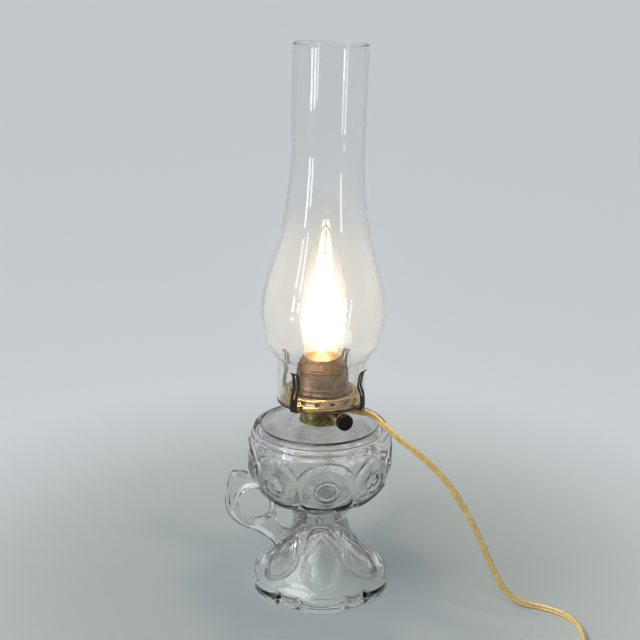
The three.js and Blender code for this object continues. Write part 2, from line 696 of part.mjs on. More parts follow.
// Bulb: screw cap, clear envelope, and the filaments spread round their stem
const bulbShares = [
  [0, 0.046], [0.29, 0.078], [0.72, 0.156], [0.97, 0.265], [0.98, 0.37], [0.82, 0.51], [0.46, 0.7],
  [0.02, 0.815], [-0.4, 0.904], [-0.85, 0.97],
];
const bulbNeckRadius = capRadius - capWall - seatGap;
const bulbOuter = [
  [bulbNeckRadius, bulbFoot],
  ...bulbShares.map(([radial, rise]) => [
    bulbNeckRadius + radial * (radial > 0 ? bulbRadius - bulbNeckRadius : bulbNeckRadius),
    bulbFoot + bulbGlassHeight * rise,
  ]),
  [0, bulbTip],
];
addPiece(burner, 'bulb_glass', revolve(wallProfile(bulbOuter, bulbWall), 16), finishes.blownGlass);
const capBore = capRadius - capWall;
const capShoulder = capHeight / 12;
addPiece(burner, 'bulb_cap', revolve([
  [capContactRadius, capFoot], [capRadius - capShoulder, capFoot], [capRadius, capFoot + capShoulder],
  [capRadius, capTop], [capBore, capTop], [capBore, capFoot + capShoulder + capWall],
  [capBore - capShoulder, capFoot + capWall], [capContactRadius, capFoot + capWall],
  [capContactRadius, capFoot],
], 20), finishes.steel);
addPiece(burner, 'bulb_cap_insulator', revolve([
  [0, capInsulatorFoot], [capContactRadius, capInsulatorFoot],
  [capRadius - capShoulder, capFoot - seatGap], [0, capFoot - seatGap],
], 16), finishes.blackPlastic);
addPiece(burner, 'bulb_cap_contact', revolve([
  [0, capContactFoot], [0.7 * capContactRadius, capContactFoot],
  [capContactRadius, capContactFoot + 0.5 * capContactHeight],
  [capContactRadius, capContactFoot + capContactHeight], [0, capContactFoot + capContactHeight],
], 12), finishes.steel);

const filamentFoot = bulbFoot + filamentFootRise;
const stemTop = filamentFoot + filamentLength;
const stemTubeTop = bulbFoot + stemTubeHeight;
const stemFlareRadius = bulbNeckRadius - bulbWall - seatGap;
addPiece(burner, 'bulb_stem', revolve([
  [0, bulbFoot], [stemFlareRadius, bulbFoot], [stemFlareRadius, bulbFoot + bulbWall],
  [1.7 * stemRadius, bulbFoot + 0.25 * stemTubeHeight],
  [stemRadius, bulbFoot + 0.5 * stemTubeHeight], [stemRadius, stemTubeTop],
  [stemRodRadius, stemTubeTop + stemRadius], [stemRodRadius, stemTop], [0, stemTop],
], 12), finishes.blownGlass);
addPiece(burner, 'filament_anchor', rod(anchorRadius, stemTop + seatGap, stemTop + seatGap + anchorThickness, 12),
  finishes.steel);

// A straight round rod between two points
function rodBetween(from, to, radius, sides) {
  const [start, end] = [new THREE.Vector3(...from), new THREE.Vector3(...to)];
  const along = end.clone().sub(start);
  const turn = new THREE.Quaternion().setFromUnitVectors(new THREE.Vector3(0, 1, 0), along.clone().normalize());
  const middle = start.add(end).divideScalar(2);
  return new THREE.CylinderGeometry(radius, radius, along.length(), sides)
    .applyQuaternion(turn).translate(...middle.toArray());
}

for (let i = 0; i < filamentCount; i++) {
  const azimuth = ((i + 0.5) * fullTurn) / filamentCount;
  const out = (radius, height) => [radius * Math.sin(azimuth), -radius * Math.cos(azimuth), height];
  const topRadius = stemRodRadius + seatGap + 1.3 * filamentRadius;
  addPiece(burner, `filament_${i + 1}`,
    rodBetween(out(filamentSpread, filamentFoot), out(topRadius, stemTop - 0.4 * filamentRadius), filamentRadius, 8),
    finishes.filament);
  addPiece(burner, `filament_lead_${i + 1}`,
    rodBetween(out(stemRadius + seatGap + leadRadius, stemTubeTop - 2 * stemRadius),
      out(filamentSpread, filamentFoot - seatGap - 1.5 * leadRadius), leadRadius, 6),
    finishes.steel);
}

// Chimney: straight fitter, belly and throat
const chimneyShares = {
  bellyFromFitter: [[0, 0], [0, 0.112], [0.12, 0.127], [0.38, 0.144], [0.7, 0.173],
    [0.93, 0.222], [1, 0.262]],
  throatFromBelly: [[0.05, 0.302], [0.16, 0.347], [0.39, 0.409], [0.64, 0.477], [0.83, 0.556],
    [0.95, 0.64], [1, 0.72]],
  mouthFromThroat: [[0.75, 0.8], [1, 1]],
};
function chimneySpan(shares, from, to) {
  return shares.map(([radial, rise]) => [from + (to - from) * radial, chimneyFoot + chimneyHeight * rise]);
}
const chimneyOuter = [
  ...chimneySpan(chimneyShares.bellyFromFitter, chimneyFitterRadius, chimneyBellyRadius),
  ...chimneySpan(chimneyShares.throatFromBelly, chimneyBellyRadius, chimneyThroatRadius),
  ...chimneySpan(chimneyShares.mouthFromThroat, chimneyThroatRadius, chimneyMouthRadius),
];
addPiece(burner, 'chimney', revolve(wallProfile(chimneyOuter, chimneyWall), chimneySegments), finishes.blownGlass);

// Strain relief, a tapered sleeve with grooves
const reliefTaper = (share) => reliefRadius + (reliefTipRadius - reliefRadius) * share;
const reliefGrooves = [0.3, 0.45, 0.6, 0.75].flatMap((share) => [
  [reliefTaper(share), reliefLength * share], [0.88 * reliefTaper(share), reliefLength * (share + 0.03)],
  [0.88 * reliefTaper(share), reliefLength * (share + 0.06)], [reliefTaper(share), reliefLength * (share + 0.09)],
]);
const reliefRoot = drumRadius + seatGap + reliefRadius * Math.sin(cordExitSlope);
addPiece(burner, 'strain_relief', revolve([
  [0, -baseWall - 4 * seatGap], [reliefNeckRadius, -baseWall - 4 * seatGap], [reliefNeckRadius, 0],
  [reliefRadius, 0], ...reliefGrooves, [reliefTipRadius, reliefLength], [0, reliefLength],
], 8).rotateX(quarterTurn + cordExitSlope).translate(0, -reliefRoot, cordExitHeight).rotateZ(cordExitTurn),
finishes.cord);

// Free stretch of the cord
const cordRadius = cordDiameter / 2;
const routePoints = cordRoute.map((point) => new THREE.Vector3(...point));
const cordSection = new THREE.Shape();
cordSection.absarc(0, 0, cordRadius, 0, fullTurn, false);
addPiece(lamp, 'cord_free', new THREE.ExtrudeGeometry(cordSection, {
  steps: cordSteps,
  curveSegments: 4,
  extrudePath: new THREE.CatmullRomCurve3(routePoints, false, 'centripetal'),
}), finishes.cord);

// Coil: one tube that spirals in on the table, climbs a layer and spirals out on top
const coilPitch = cordDiameter + coilGap;
const coilOuterRadius = coilMiddleRadius + (coilPitch * coilTurns) / 4;
const coilInnerRadius = coilMiddleRadius - (coilPitch * coilTurns) / 4;
const coilStart = routePoints.at(-1).clone().add(new THREE.Vector3(0, -seatGap, 0));
const coilMiddle = [coilStart.x - coilOuterRadius, coilStart.y - cordDiameter];
const coilLow = cordRadius + coilLift;

function coilPoint(turns) {
  const reversal = 0.25;
  const fromMiddle = turns - coilTurns / 2;
  const away = Math.abs(fromMiddle);
  const eased = away < reversal ? away ** 2 / (2 * reversal) + reversal / 2 : away;
  const radius = coilInnerRadius + coilPitch * eased;
  const height = coilLow + coilPitch * smoothStep(-reversal, reversal, fromMiddle);
  const angle = -turns * fullTurn;
  return new THREE.Vector3(
    coilMiddle[0] + radius * Math.cos(angle), coilMiddle[1] + radius * Math.sin(angle), height,
  );
}

function coilPath() {
  const stepsPerTurn = 24;
  const count = Math.round(coilTurns * stepsPerTurn);
  const turns = Array.from({ length: count + 1 }, (_, i) => coilPoint((i * coilTurns) / count));
  const end = turns.at(-1).clone().add(new THREE.Vector3(-coilEndRun, 0, 0));
  return [coilStart, ...turns, end];
}

function tubeAlong(points, radius, sides) {
  const up = new THREE.Vector3(0, 0, 1);
  const corners = [];
  const faces = [];
  points.forEach((point, i) => {
    const before = points[Math.max(i - 1, 0)];
    const after = points[Math.min(i + 1, points.length - 1)];
    const along = after.clone().sub(before).normalize();
    const across = along.clone().cross(up).normalize();
    const over = across.clone().cross(along);
    for (let side = 0; side < sides; side++) {
      const angle = (side * fullTurn) / sides;
      const corner = point.clone()
        .addScaledVector(across, radius * Math.cos(angle))
        .addScaledVector(over, radius * Math.sin(angle));
      corners.push(...corner.toArray());
      const [a, b] = [i * sides + side, i * sides + ((side + 1) % sides)];
      if (i > 0) faces.push(a - sides, b, b - sides, a - sides, a, b);
    }
  });
  const last = (points.length - 1) * sides;
  for (let side = 1; side < sides - 1; side++) {
    faces.push(0, side, side + 1);
    faces.push(last, last + side + 1, last + side);
  }
  const geometry = new THREE.BufferGeometry();
  geometry.setAttribute('position', new THREE.Float32BufferAttribute(corners, 3));
  geometry.setIndex(faces);
  geometry.computeVertexNormals();
  return geometry;
}

// The least gap between stretches of the tube that lie more than a third of a turn apart
function leastGap(points, diameter) {
  const apart = 9;
  let least = Infinity;
  for (let i = 0; i < points.length; i++) {
    for (let j = i + apart; j < points.length; j++) {
      least = Math.min(least, points[i].distanceTo(points[j]) - diameter);
    }
  }
  return least;
}

const coilPoints = coilPath();
const pathLength = (points) => points.slice(1).reduce((sum, point, i) => sum + point.distanceTo(points[i]), 0);
console.log(`coil: least gap to itself ${leastGap(coilPoints, cordDiameter).toFixed(2)} mm`);
console.log(`cord: ${pathLength(routePoints).toFixed(0)} mm free and ${pathLength(coilPoints).toFixed(0)} mm coiled`);
addPiece(lamp, 'cord_coil', tubeAlong(coilPoints, cordRadius, 6), finishes.cord);

// Plug, lying beside the coil with its blades outwards
const plug = new THREE.Group();
plug.position.set(coilPoints.at(-1).x - seatGap, coilPoints.at(-1).y, coilPoints.at(-1).z);
plug.rotation.z = Math.PI;
lamp.add(plug);

function plugGeometry() {
  const [tail, half] = [plugTailWidth / 2, plugWidth / 2];
  const outline = new THREE.Shape();
  outline.moveTo(0, -tail);
  outline.quadraticCurveTo(0.35 * plugLength, -tail, 0.5 * plugLength, -half);
  outline.lineTo(plugLength, -half);
  outline.lineTo(plugLength, half);
  outline.lineTo(0.5 * plugLength, half);
  outline.quadraticCurveTo(0.35 * plugLength, tail, 0, tail);
  return new THREE.ExtrudeGeometry(outline, {
    depth: plugThickness - 2 * plugBevel,
    bevelThickness: plugBevel,
    bevelSize: plugBevel,
    bevelOffset: -plugBevel,
    bevelSegments: 2,
    curveSegments: 6,
  }).translate(0, 0, plugBevel - plugThickness / 2);
}

function bladeSeatBox(width) {
  return new THREE.BoxGeometry(bladeSeat + cutOverrun, bladeGauge + 2 * seatGap, width + 2 * seatGap)
    .translate(plugLength - bladeSeat + (bladeSeat + cutOverrun) / 2, 0, 0);
}

function bladeGeometry(width) {
  const [start, end] = [plugLength - bladeSeat + seatGap, plugLength + bladeReach];
  const chamfer = width / 5;
  const outline = new THREE.Shape([
    [start, -width / 2], [end - chamfer, -width / 2], [end, chamfer - width / 2],
    [end, width / 2 - chamfer], [end - chamfer, width / 2], [start, width / 2],
  ].map(([x, z]) => new THREE.Vector2(x, z)));
  const hole = new THREE.Path();
  hole.absarc(plugLength + 0.72 * bladeReach, 0, width / 4.5, 0, fullTurn, true);
  outline.holes.push(hole);
  return new THREE.ExtrudeGeometry(outline, { depth: bladeGauge, bevelEnabled: false, curveSegments: 8 })
    .translate(0, 0, -bladeGauge / 2).rotateX(quarterTurn);
}

const blades = [
  { name: 'plug_blade_neutral', width: neutralBladeWidth, side: -bladeSpacing / 2 },
  { name: 'plug_blade_line', width: lineBladeWidth, side: bladeSpacing / 2 },
];
addPiece(plug, 'plug_body', cut(
  plugGeometry(), ...blades.map(({ width, side }) => bladeSeatBox(width).translate(0, side, 0)),
), finishes.cord);
for (const { name, width, side } of blades) {
  addPiece(plug, name, bladeGeometry(width).translate(0, side, 0), finishes.brass);
}

export default lamp;
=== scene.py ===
"""Looks of the electrified oil lamp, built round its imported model.

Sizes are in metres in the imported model's frame: +Z up, the viewer looks along +Y and the finger
handle points to -X. Azimuths start at the viewer and rise towards +X. Tables whose names end in
_MM are in millimetres: pairs of radius and height, counted from the place that their user gives.
"""

import math

import bmesh
import bpy
from bpy.props import FloatProperty, FloatVectorProperty, IntProperty, PointerProperty
from mathutils import Matrix, Vector


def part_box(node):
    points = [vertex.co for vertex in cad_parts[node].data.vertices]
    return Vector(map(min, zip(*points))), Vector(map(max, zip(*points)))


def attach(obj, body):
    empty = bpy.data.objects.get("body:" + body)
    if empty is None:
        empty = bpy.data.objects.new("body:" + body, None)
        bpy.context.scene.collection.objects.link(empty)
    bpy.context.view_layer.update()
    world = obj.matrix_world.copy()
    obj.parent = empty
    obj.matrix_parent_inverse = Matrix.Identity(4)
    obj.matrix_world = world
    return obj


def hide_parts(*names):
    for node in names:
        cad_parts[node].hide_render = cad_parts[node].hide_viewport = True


bl_info = {
    "name": "Electrified Oil Lamp",
    "version": (1, 0, 0),
    "blender": (4, 5, 0),
    "location": "3D View > Sidebar > Oil Lamp",
    "description": "Dresses a pressed-glass finger lamp that was fitted with an electric burner",
    "category": "Object",
}

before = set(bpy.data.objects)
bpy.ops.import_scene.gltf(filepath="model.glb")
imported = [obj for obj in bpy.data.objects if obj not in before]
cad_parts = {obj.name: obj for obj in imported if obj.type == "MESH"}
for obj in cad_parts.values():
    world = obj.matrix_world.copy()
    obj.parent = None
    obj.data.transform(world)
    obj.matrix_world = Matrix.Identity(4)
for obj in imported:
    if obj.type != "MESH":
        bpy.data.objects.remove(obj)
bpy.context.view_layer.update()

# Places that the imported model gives
FONT_LOW, FONT_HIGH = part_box("font_bowl")
PEDESTAL_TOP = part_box("pedestal_foot")[1].z
NECK_RISE = 0.0036
FONT_TOP = FONT_HIGH.z - NECK_RISE
FONT_BASE = FONT_LOW.z
LAMP_AXIS = (FONT_LOW.x + FONT_HIGH.x) / 2
BURNER_LEAN = math.radians(1.6)
UPRIGHT = Matrix.Translation((LAMP_AXIS, 0, 0))
LEANING = Matrix.Translation((LAMP_AXIS, 0, FONT_TOP)) @ Matrix.Rotation(BURNER_LEAN, 4, "Y")

# Heights above the font's top, along the leaning axis
COLLAR_FOOT = 0.0008
DRUM_FOOT = 0.0095
RING_FOOT = 0.0200
RING_TOP = 0.0208
GALLERY_FOOT = 0.0211
BELL_FOOT = 0.0310
BULB_FOOT = 0.0531
BULB_HEIGHT = 0.1234
SWITCH_HEIGHT = 0.0138
CORD_EXIT_HEIGHT = 0.0141

CORD_AZIMUTH = math.radians(76)
CORD_SLOPE = math.radians(6)
SHEET = 0.0008
MM = 0.001
QUARTER = math.pi / 2
NEARLY_ZERO = 1e-6

# Steps round the axis of what is spun
GLASS_STEPS = 336
KNOB_STEPS = 168
LARGE_STEPS = 128
RING_STEPS = 96
SMALL_STEPS = 72
RELIEF_STEPS = 40
BORE_STEPS = 32
STRAND_STEPS = 12


def length(name, description, default):
    """A size in the panel."""
    return FloatProperty(name=name, description=description, default=default, unit="LENGTH")


def amount(name, description, default, low=0, subtype="NONE"):
    """A number in the panel that has a lowest value."""
    return FloatProperty(name=name, description=description, default=default, min=low, subtype=subtype)


def colour(name, description, default):
    """A colour in the panel."""
    return FloatVectorProperty(
        name=name, description=description, default=default, subtype="COLOR", size=3, min=0, max=1
    )


class GlassSizes(bpy.types.PropertyGroup):
    """Sizes of the pressed glass and the chimney, and the tint of the pressed glass."""

    foot_radius: length("Foot radius", "Half the width of the lobed foot", 0.0639)
    bowl_radius: length("Bowl radius", "Half the width of the bowl between its medallions", 0.0631)
    bowl_wall: length("Bowl wall", "Thickness of the bowl's wall", 0.005)
    medallion_relief: length("Medallion relief", "How far a medallion's rim stands out", 0.00135)
    teardrop_relief: length("Teardrop relief", "How far a teardrop's outline stands out", 0.0012)
    chimney_wall: length("Chimney wall", "Thickness of the blown chimney", 0.002)
    tint: colour("Tint", "Colour that the glass passes on", (0.985, 0.98, 0.968))


class BurnerSizes(bpy.types.PropertyGroup):
    """Sizes and colours of the burner and its switch."""

    gallery_radius: length("Gallery radius", "Half the width of the pierced gallery", 0.0353)
    air_holes: IntProperty(
        name="Air holes", description="Holes round the gallery's sloping band", default=16, min=4
    )
    bell_radius: length("Bell radius", "Half the width of the bell's upright wall", 0.0229)
    knob_radius: length("Knob radius", "Half the width of the switch's knob", 0.0071)
    knob_turn: FloatProperty(
        name="Knob azimuth", description="Where the switch stands round the drum",
        default=math.radians(28), subtype="ANGLE",
    )
    brass: colour("Brass", "Colour of the polished brass", (0.88, 0.67, 0.31))
    copper_brown: colour("Aged brass", "Colour of the bell's aged brass", (0.105, 0.063, 0.033))


class CordSizes(bpy.types.PropertyGroup):
    """Sizes and colour of the flat twin cord."""

    width: length("Width", "Width across both conductors", 0.0056)
    coil_turns: amount("Coil turns", "Turns in which the unseen cord is put away", 6.25, low=1)
    coil_radius: length("Coil radius", "Radius at the middle of the coil's turns", 0.0336)
    gold: colour("Gold", "Colour of the cord's insulation", (0.64, 0.43, 0.11))


class StageSizes(bpy.types.PropertyGroup):
    """Floor, light and bulb glow."""

    # The near colour is partly the floor's own darker tone and partly painted shade round the lamp
    floor_near_tone_and_shade: colour("Floor under the lamp", "Colour of the floor near the lamp", (0.37, 0.42, 0.43))
    floor_far: colour("Floor round it", "Colour of the floor away from the lamp", (0.74, 0.77, 0.80))
    sun_power: amount("Soft sun", "Strength of the soft light from above", 2.2)
    filament_power: amount("Filament glow", "Emission strength of the lit filaments", 70)
    # Strength of the glow painted on the bulb's glass in place of the filaments' light
    bulb_painted_glow: amount("Bulb painted glow", "Emission strength of the glass that the filaments wash out", 0.18)
    bulb_power: amount("Bulb light", "Light that the bulb gives", 1.0, subtype="POWER")


# Lines and profiles


def in_metres(outline, radius=0.0, height=0.0):
    """An outline in millimetres as points in metres, counted from a radius and a height."""
    return [(radius + r * MM, height + z * MM) for r, z in outline]


def smooth_line(points, per_span):
    """Points on a centripetal curve through the given ones, with equal steps in each span."""
    given = [Vector(p) for p in points]
    given = [2 * given[0] - given[1], *given, 2 * given[-1] - given[-2]]
    line = []
    for a, b, c, d in zip(given, given[1:], given[2:], given[3:]):
        before, here, after = ((q - p).length**0.5 for p, q in ((a, b), (b, c), (c, d)))
        start = ((b - a) / before - (c - a) / (before + here) + (c - b) / here) * here
        end = ((c - b) / here - (d - b) / (here + after) + (d - c) / after) * here
        for step in range(per_span):
            t = step / per_span
            bend = (3 * (c - b) - 2 * start - end) * t**2
            line.append(b + start * t + bend + (start + end - 2 * (c - b)) * t**3)
    return [*line, given[-2]]


def wall_of(outer, thickness):
    """A closed profile: the outer line, and the same line a wall's thickness inside it."""
    inner = []
    for i, (radius, height) in enumerate(outer):
        r0, z0 = outer[max(i - 1, 0)]
        r1, z1 = outer[min(i + 1, len(outer) - 1)]
        span = math.hypot(r1 - r0, z1 - z0)
        moved = radius - thickness * (z1 - z0) / span
        if moved > 0:
            inner.append((moved, height + thickness * (r1 - r0) / span))
    if outer[-1][0] == 0:
        inner.append((0, outer[-1][1] - thickness))
    return [*outer, *reversed(inner), outer[0]]


def smooth_step(low, high, value):
    """0 below low, 1 above high, and a smooth rise between them."""
    t = min(1, max(0, (value - low) / (high - low)))
    return t * t * (3 - 2 * t)


def ridge(distance, half_width):
    """A rounded ridge that is 1 at its middle and 0 a half width away."""
    return math.cos(distance / half_width * QUARTER) ** 2 if abs(distance) < half_width else 0


def sector_angle(azimuth, count, turn):
    """The azimuth within one of so many equal sectors, 0 at the sector's middle."""
    sector = math.tau / count
    return (azimuth - turn + sector / 2) % sector - sector / 2


def azimuth_of(point):
    """Where a point stands round the vertical axis."""
    return math.atan2(point.x, -point.y)


# Modelling


def face_outwards(bm):
    """Merges doubled points and turns every face of a closed skin outwards."""
    bmesh.ops.remove_doubles(bm, verts=bm.verts, dist=NEARLY_ZERO)
    bmesh.ops.recalc_face_normals(bm, faces=bm.faces)
    if bm.calc_volume(signed=True) < 0:
        bmesh.ops.reverse_faces(bm, faces=bm.faces)


def spin_round(bm, line, steps):
    """Spins a line of points round the vertical axis and closes its seam."""
    edges = [bm.edges.new(pair) for pair in zip(line, line[1:])]
    bmesh.ops.spin(
        bm, geom=[*line, *edges], axis=(0, 0, 1), cent=(0, 0, 0), angle=math.tau, steps=steps, use_merge=True
    )
    face_outwards(bm)
    bmesh.ops.delete(bm, geom=[edge for edge in bm.edges if edge.is_wire], context="EDGES")


def lathe(profile, steps):
    """Spins a profile of radii and heights round the vertical axis into a closed skin."""
    bm = bmesh.new()
    spin_round(bm, [bm.verts.new((radius, 0, height)) for radius, height in profile], steps)
    return bm


def edge_row(bm, points, closed=False):
    """New edges from point to point, and back to the first where the row is closed."""
    verts = [bm.verts.new(point) for point in points]
    return [bm.edges.new(pair) for pair in zip(verts, verts[1:] + verts[: int(closed)])]


def pull_row(bm, edges, step):
    """Pulls a row of edges out into faces by one step and gives the row at their far end."""
    grown = bmesh.ops.extrude_edge_only(bm, edges=edges)["geom"]
    verts = [item for item in grown if isinstance(item, bmesh.types.BMVert)]
    bmesh.ops.translate(bm, verts=verts, vec=step)
    made = [item for item in grown if isinstance(item, bmesh.types.BMEdge)]
    return [edge for edge in made if all(end in verts for end in edge.verts)]


def push_out(vert, distance):
    """Moves a vertex away from the vertical axis."""
    radius = math.hypot(vert.co.x, vert.co.y)
    if radius > NEARLY_ZERO:
        vert.co.xy *= (radius + distance) / radius


def laid_along(azimuth, height, slope=0.0):
    """The place of a piece that is made along +Z and lies along a level direction."""
    turn = Matrix.Rotation(azimuth, 4, "Z") @ Matrix.Rotation(QUARTER + slope, 4, "X")
    return Matrix.Translation((0, 0, height)) @ turn


def curve_object(name, loops, closed=True, **settings):
    """A curve object that runs straight from point to point of each loop."""
    curve = bpy.data.curves.new(name, "CURVE")
    for setting, value in settings.items():
        setattr(curve, setting, value)
    for loop in loops:
        spline = curve.splines.new("POLY")
        spline.points.add(len(loop) - 1)
        for point, place in zip(spline.points, loop):
            point.co = (*place, 1)
        spline.use_cyclic_u = closed
    holder = bpy.data.objects.new(name, curve)
    bpy.context.scene.collection.objects.link(holder)
    return holder


def skin_of(holder):
    """The skin that a curve object gives, in place of the object."""
    graph = bpy.context.evaluated_depsgraph_get()
    mesh = bpy.data.meshes.new_from_object(holder.evaluated_get(graph), depsgraph=graph)
    bpy.data.objects.remove(holder)
    bm = bmesh.new()
    bm.from_mesh(mesh)
    return bm


def finish_piece(name, bm, look, place=LEANING, sharp=40, body="lamp"):
    """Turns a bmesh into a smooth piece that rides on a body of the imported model."""
    bm.transform(place)
    mesh = bpy.data.meshes.new(name)
    bm.to_mesh(mesh)
    bm.free()
    mesh.shade_smooth()
    mesh.set_sharp_from_angle(angle=math.radians(sharp))
    mesh.materials.append(finish(look))
    piece = bpy.data.objects.new(name, mesh)
    bpy.context.scene.collection.objects.link(piece)
    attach(piece, body)
    return piece


def modify(piece, kind, **settings):
    """Adds a modifier of a kind with the given settings."""
    modifier = piece.modifiers.new(kind.title(), kind)
    for setting, value in settings.items():
        setattr(modifier, setting, value)


def apply_modifiers(piece):
    """Makes a piece's modifiers part of its mesh."""
    graph = bpy.context.evaluated_depsgraph_get()
    evaluated = piece.evaluated_get(graph)
    mesh = bpy.data.meshes.new_from_object(evaluated, preserve_all_data_layers=True, depsgraph=graph)
    piece.modifiers.clear()
    piece.data = mesh
    mesh.name = piece.name


def smooth_edges(piece, width, segments=2):
    """Rounds a piece's sharp edges."""
    sharpest = math.radians(35)
    modify(piece, "BEVEL", width=width, segments=segments, limit_method="ANGLE", angle_limit=sharpest,
           harden_normals=False)


def combine(piece, other, operation):
    """Joins another piece to a piece, or cuts it out, and removes the other."""
    modify(piece, "BOOLEAN", operation=operation, solver="MANIFOLD", object=other)
    apply_modifiers(piece)
    bpy.data.objects.remove(other)


# Shader nodes


def node(tree, kind, inputs=None, **settings):
    """Adds a node, gives its sockets values or links, and returns it."""
    made = tree.nodes.new(kind)
    for name, value in settings.items():
        setattr(made, name, value)
    for socket, value in (inputs or {}).items():
        if isinstance(value, bpy.types.NodeSocket):
            tree.links.new(value, made.inputs[socket])
        else:
            made.inputs[socket].default_value = value
    return made


def object_place(tree):
    return node(tree, "ShaderNodeTexCoord").outputs["Object"]


def attribute(tree, name, output="Fac"):
    return node(tree, "ShaderNodeAttribute", attribute_name=name).outputs[output]


def calculate(tree, operation, *values, use_clamp=False):
    """The result of a calculation with values or links."""
    made = node(tree, "ShaderNodeMath", dict(enumerate(values)), operation=operation, use_clamp=use_clamp)
    return made.outputs[0]


def ramp(tree, value, start, end, first=0.0, last=1.0, kind="SMOOTHSTEP"):
    """Goes from first to last while the value goes from start to end."""
    return node(tree, "ShaderNodeMapRange", {
        "Value": value, "From Min": start, "From Max": end, "To Min": first, "To Max": last,
    }, interpolation_type=kind).outputs["Result"]


def noise(tree, place, scale, detail, roughness=0.5, distortion=0.0):
    return node(tree, "ShaderNodeTexNoise", {
        "Vector": place, "Scale": scale, "Detail": detail, "Roughness": roughness, "Distortion": distortion,
    }).outputs["Fac"]


def mixed_colour(tree, mask, plain, marked):
    """A colour that goes from plain to marked with a mask."""
    mix = node(tree, "ShaderNodeMix", {"Factor": mask}, data_type="RGBA")
    mix.inputs["A"].default_value = (*plain, 1)
    mix.inputs["B"].default_value = (*marked, 1)
    return mix.outputs["Result"]


def mixed_value(tree, mask, plain, marked):
    """A number that goes from plain to marked with a mask."""
    return ramp(tree, mask, 0.0, 1.0, plain, marked, "LINEAR")


# Shared effects


def new_group(name, inputs, outputs):
    """A shader node group with number sockets: the group, what it is given and what it puts out."""
    group = bpy.data.node_groups.new(name, "ShaderNodeTree")
    for label, default in inputs.items():
        socket = group.interface.new_socket(label, in_out="INPUT", socket_type="NodeSocketFloat")
        socket.default_value = default
    for label in outputs:
        group.interface.new_socket(label, in_out="OUTPUT", socket_type="NodeSocketFloat")
    return group, group.nodes.new("NodeGroupInput").outputs, group.nodes.new("NodeGroupOutput").inputs


def tarnish_group(name):
    """Cloudy patches over a finer speckle, as on old metal: a mask from 0 to 1."""
    inputs = {"Patch Scale": 60.0, "Speckle Scale": 900.0, "Speckle": 0.3}
    group, given, result = new_group(name, inputs, ("Mask", "Height"))
    place = object_place(group)
    patches = noise(group, place, given["Patch Scale"], detail=5.0, roughness=0.6, distortion=0.4)
    speckle = noise(group, place, given["Speckle Scale"], detail=3.0, roughness=0.7)
    fine = ramp(group, speckle, start=0.45, end=0.7, kind="LINEAR")
    share = calculate(group, "MULTIPLY", fine, given["Speckle"])
    both = calculate(group, "ADD", ramp(group, patches, start=0.36, end=0.66), share, use_clamp=True)
    group.links.new(both, result["Mask"])
    group.links.new(fine, result["Height"])
    return group


def brushing_group(name):
    """Fine rings round the burner's axis, as a lathe's polishing leaves them."""
    group, given, result = new_group(name, {"Ring Scale": 2500.0}, ("Height",))
    height = node(group, "ShaderNodeSeparateXYZ", {0: object_place(group)}).outputs["Z"]
    flat = node(group, "ShaderNodeCombineXYZ", {"Z": height}).outputs[0]
    group.links.new(noise(group, flat, given["Ring Scale"], detail=2.0), result["Height"])
    return group


def ripple_group(name):
    """The soft unevenness of a glass surface."""
    group, given, result = new_group(name, {"Wave Scale": 45.0}, ("Height",))
    wave = noise(group, object_place(group), given["Wave Scale"], detail=2.0, roughness=0.45)
    group.links.new(wave, result["Height"])
    return group


def smudge_group(name):
    """Faint dust and finger marks: a mask from 0 to 1 that lifts roughness."""
    group, given, result = new_group(name, {"Amount": 0.5}, ("Mask",))
    marks = noise(group, object_place(group), 70.0, detail=6.0, roughness=0.65, distortion=1.2)
    shown = ramp(group, marks, start=0.5, end=0.75, kind="LINEAR")
    group.links.new(calculate(group, "MULTIPLY", shown, given["Amount"]), result["Mask"])
    return group


GROUP_MAKERS = {
    "Tarnish patches": tarnish_group,
    "Lathe brushing": brushing_group,
    "Glass ripple": ripple_group,
    "Smudges": smudge_group,
}


def shared_effect(tree, name, inputs):
    """Places a shared effect in a material, building it the first time, and gives its outputs."""
    group = bpy.data.node_groups.get(name) or GROUP_MAKERS[name](name)
    return node(tree, "ShaderNodeGroup", inputs, node_tree=group).outputs


# Materials


def new_material(name, values):
    """A material with one Principled shader whose sockets hold the given values, and its tree."""
    material = bpy.data.materials.new(name)
    material.use_nodes = True
    tree = material.node_tree
    for socket, value in values.items():
        tree.nodes["Principled BSDF"].inputs[socket].default_value = value
    return material, tree


def feed(tree, socket, value):
    """Links a value to a socket of the material's shader."""
    tree.links.new(value, tree.nodes["Principled BSDF"].inputs[socket])


def bump(tree, height, strength, distance):
    """Feeds a height into the shader's normal."""
    made = node(tree, "ShaderNodeBump", {"Strength": strength, "Distance": distance, "Height": height})
    feed(tree, "Normal", made.outputs["Normal"])


def absorb(tree, passed, density):
    """Darkens a long way through the glass, as at the edge of a thin wall."""
    inside = node(tree, "ShaderNodeVolumeAbsorption", {"Color": (*passed, 1), "Density": density})
    tree.links.new(inside.outputs[0], tree.nodes["Material Output"].inputs["Volume"])


def pass_shadow_light(tree, share):
    """Lets light through the glass in shadows, which its clear shader would hold back."""
    clear = node(tree, "ShaderNodeBsdfTransparent", {"Color": (share, share, share, 1)}).outputs[0]
    shadow = node(tree, "ShaderNodeLightPath").outputs["Is Shadow Ray"]
    glass = tree.nodes["Principled BSDF"].outputs[0]
    mix = node(tree, "ShaderNodeMixShader", {0: shadow, 1: glass, 2: clear})
    tree.links.new(mix.outputs[0], tree.nodes["Material Output"].inputs["Surface"])


def smudged(tree, share, clean, marked):
    """A roughness that changes where dust and finger marks lie."""
    return mixed_value(tree, shared_effect(tree, "Smudges", {"Amount": share})["Mask"], clean, marked)


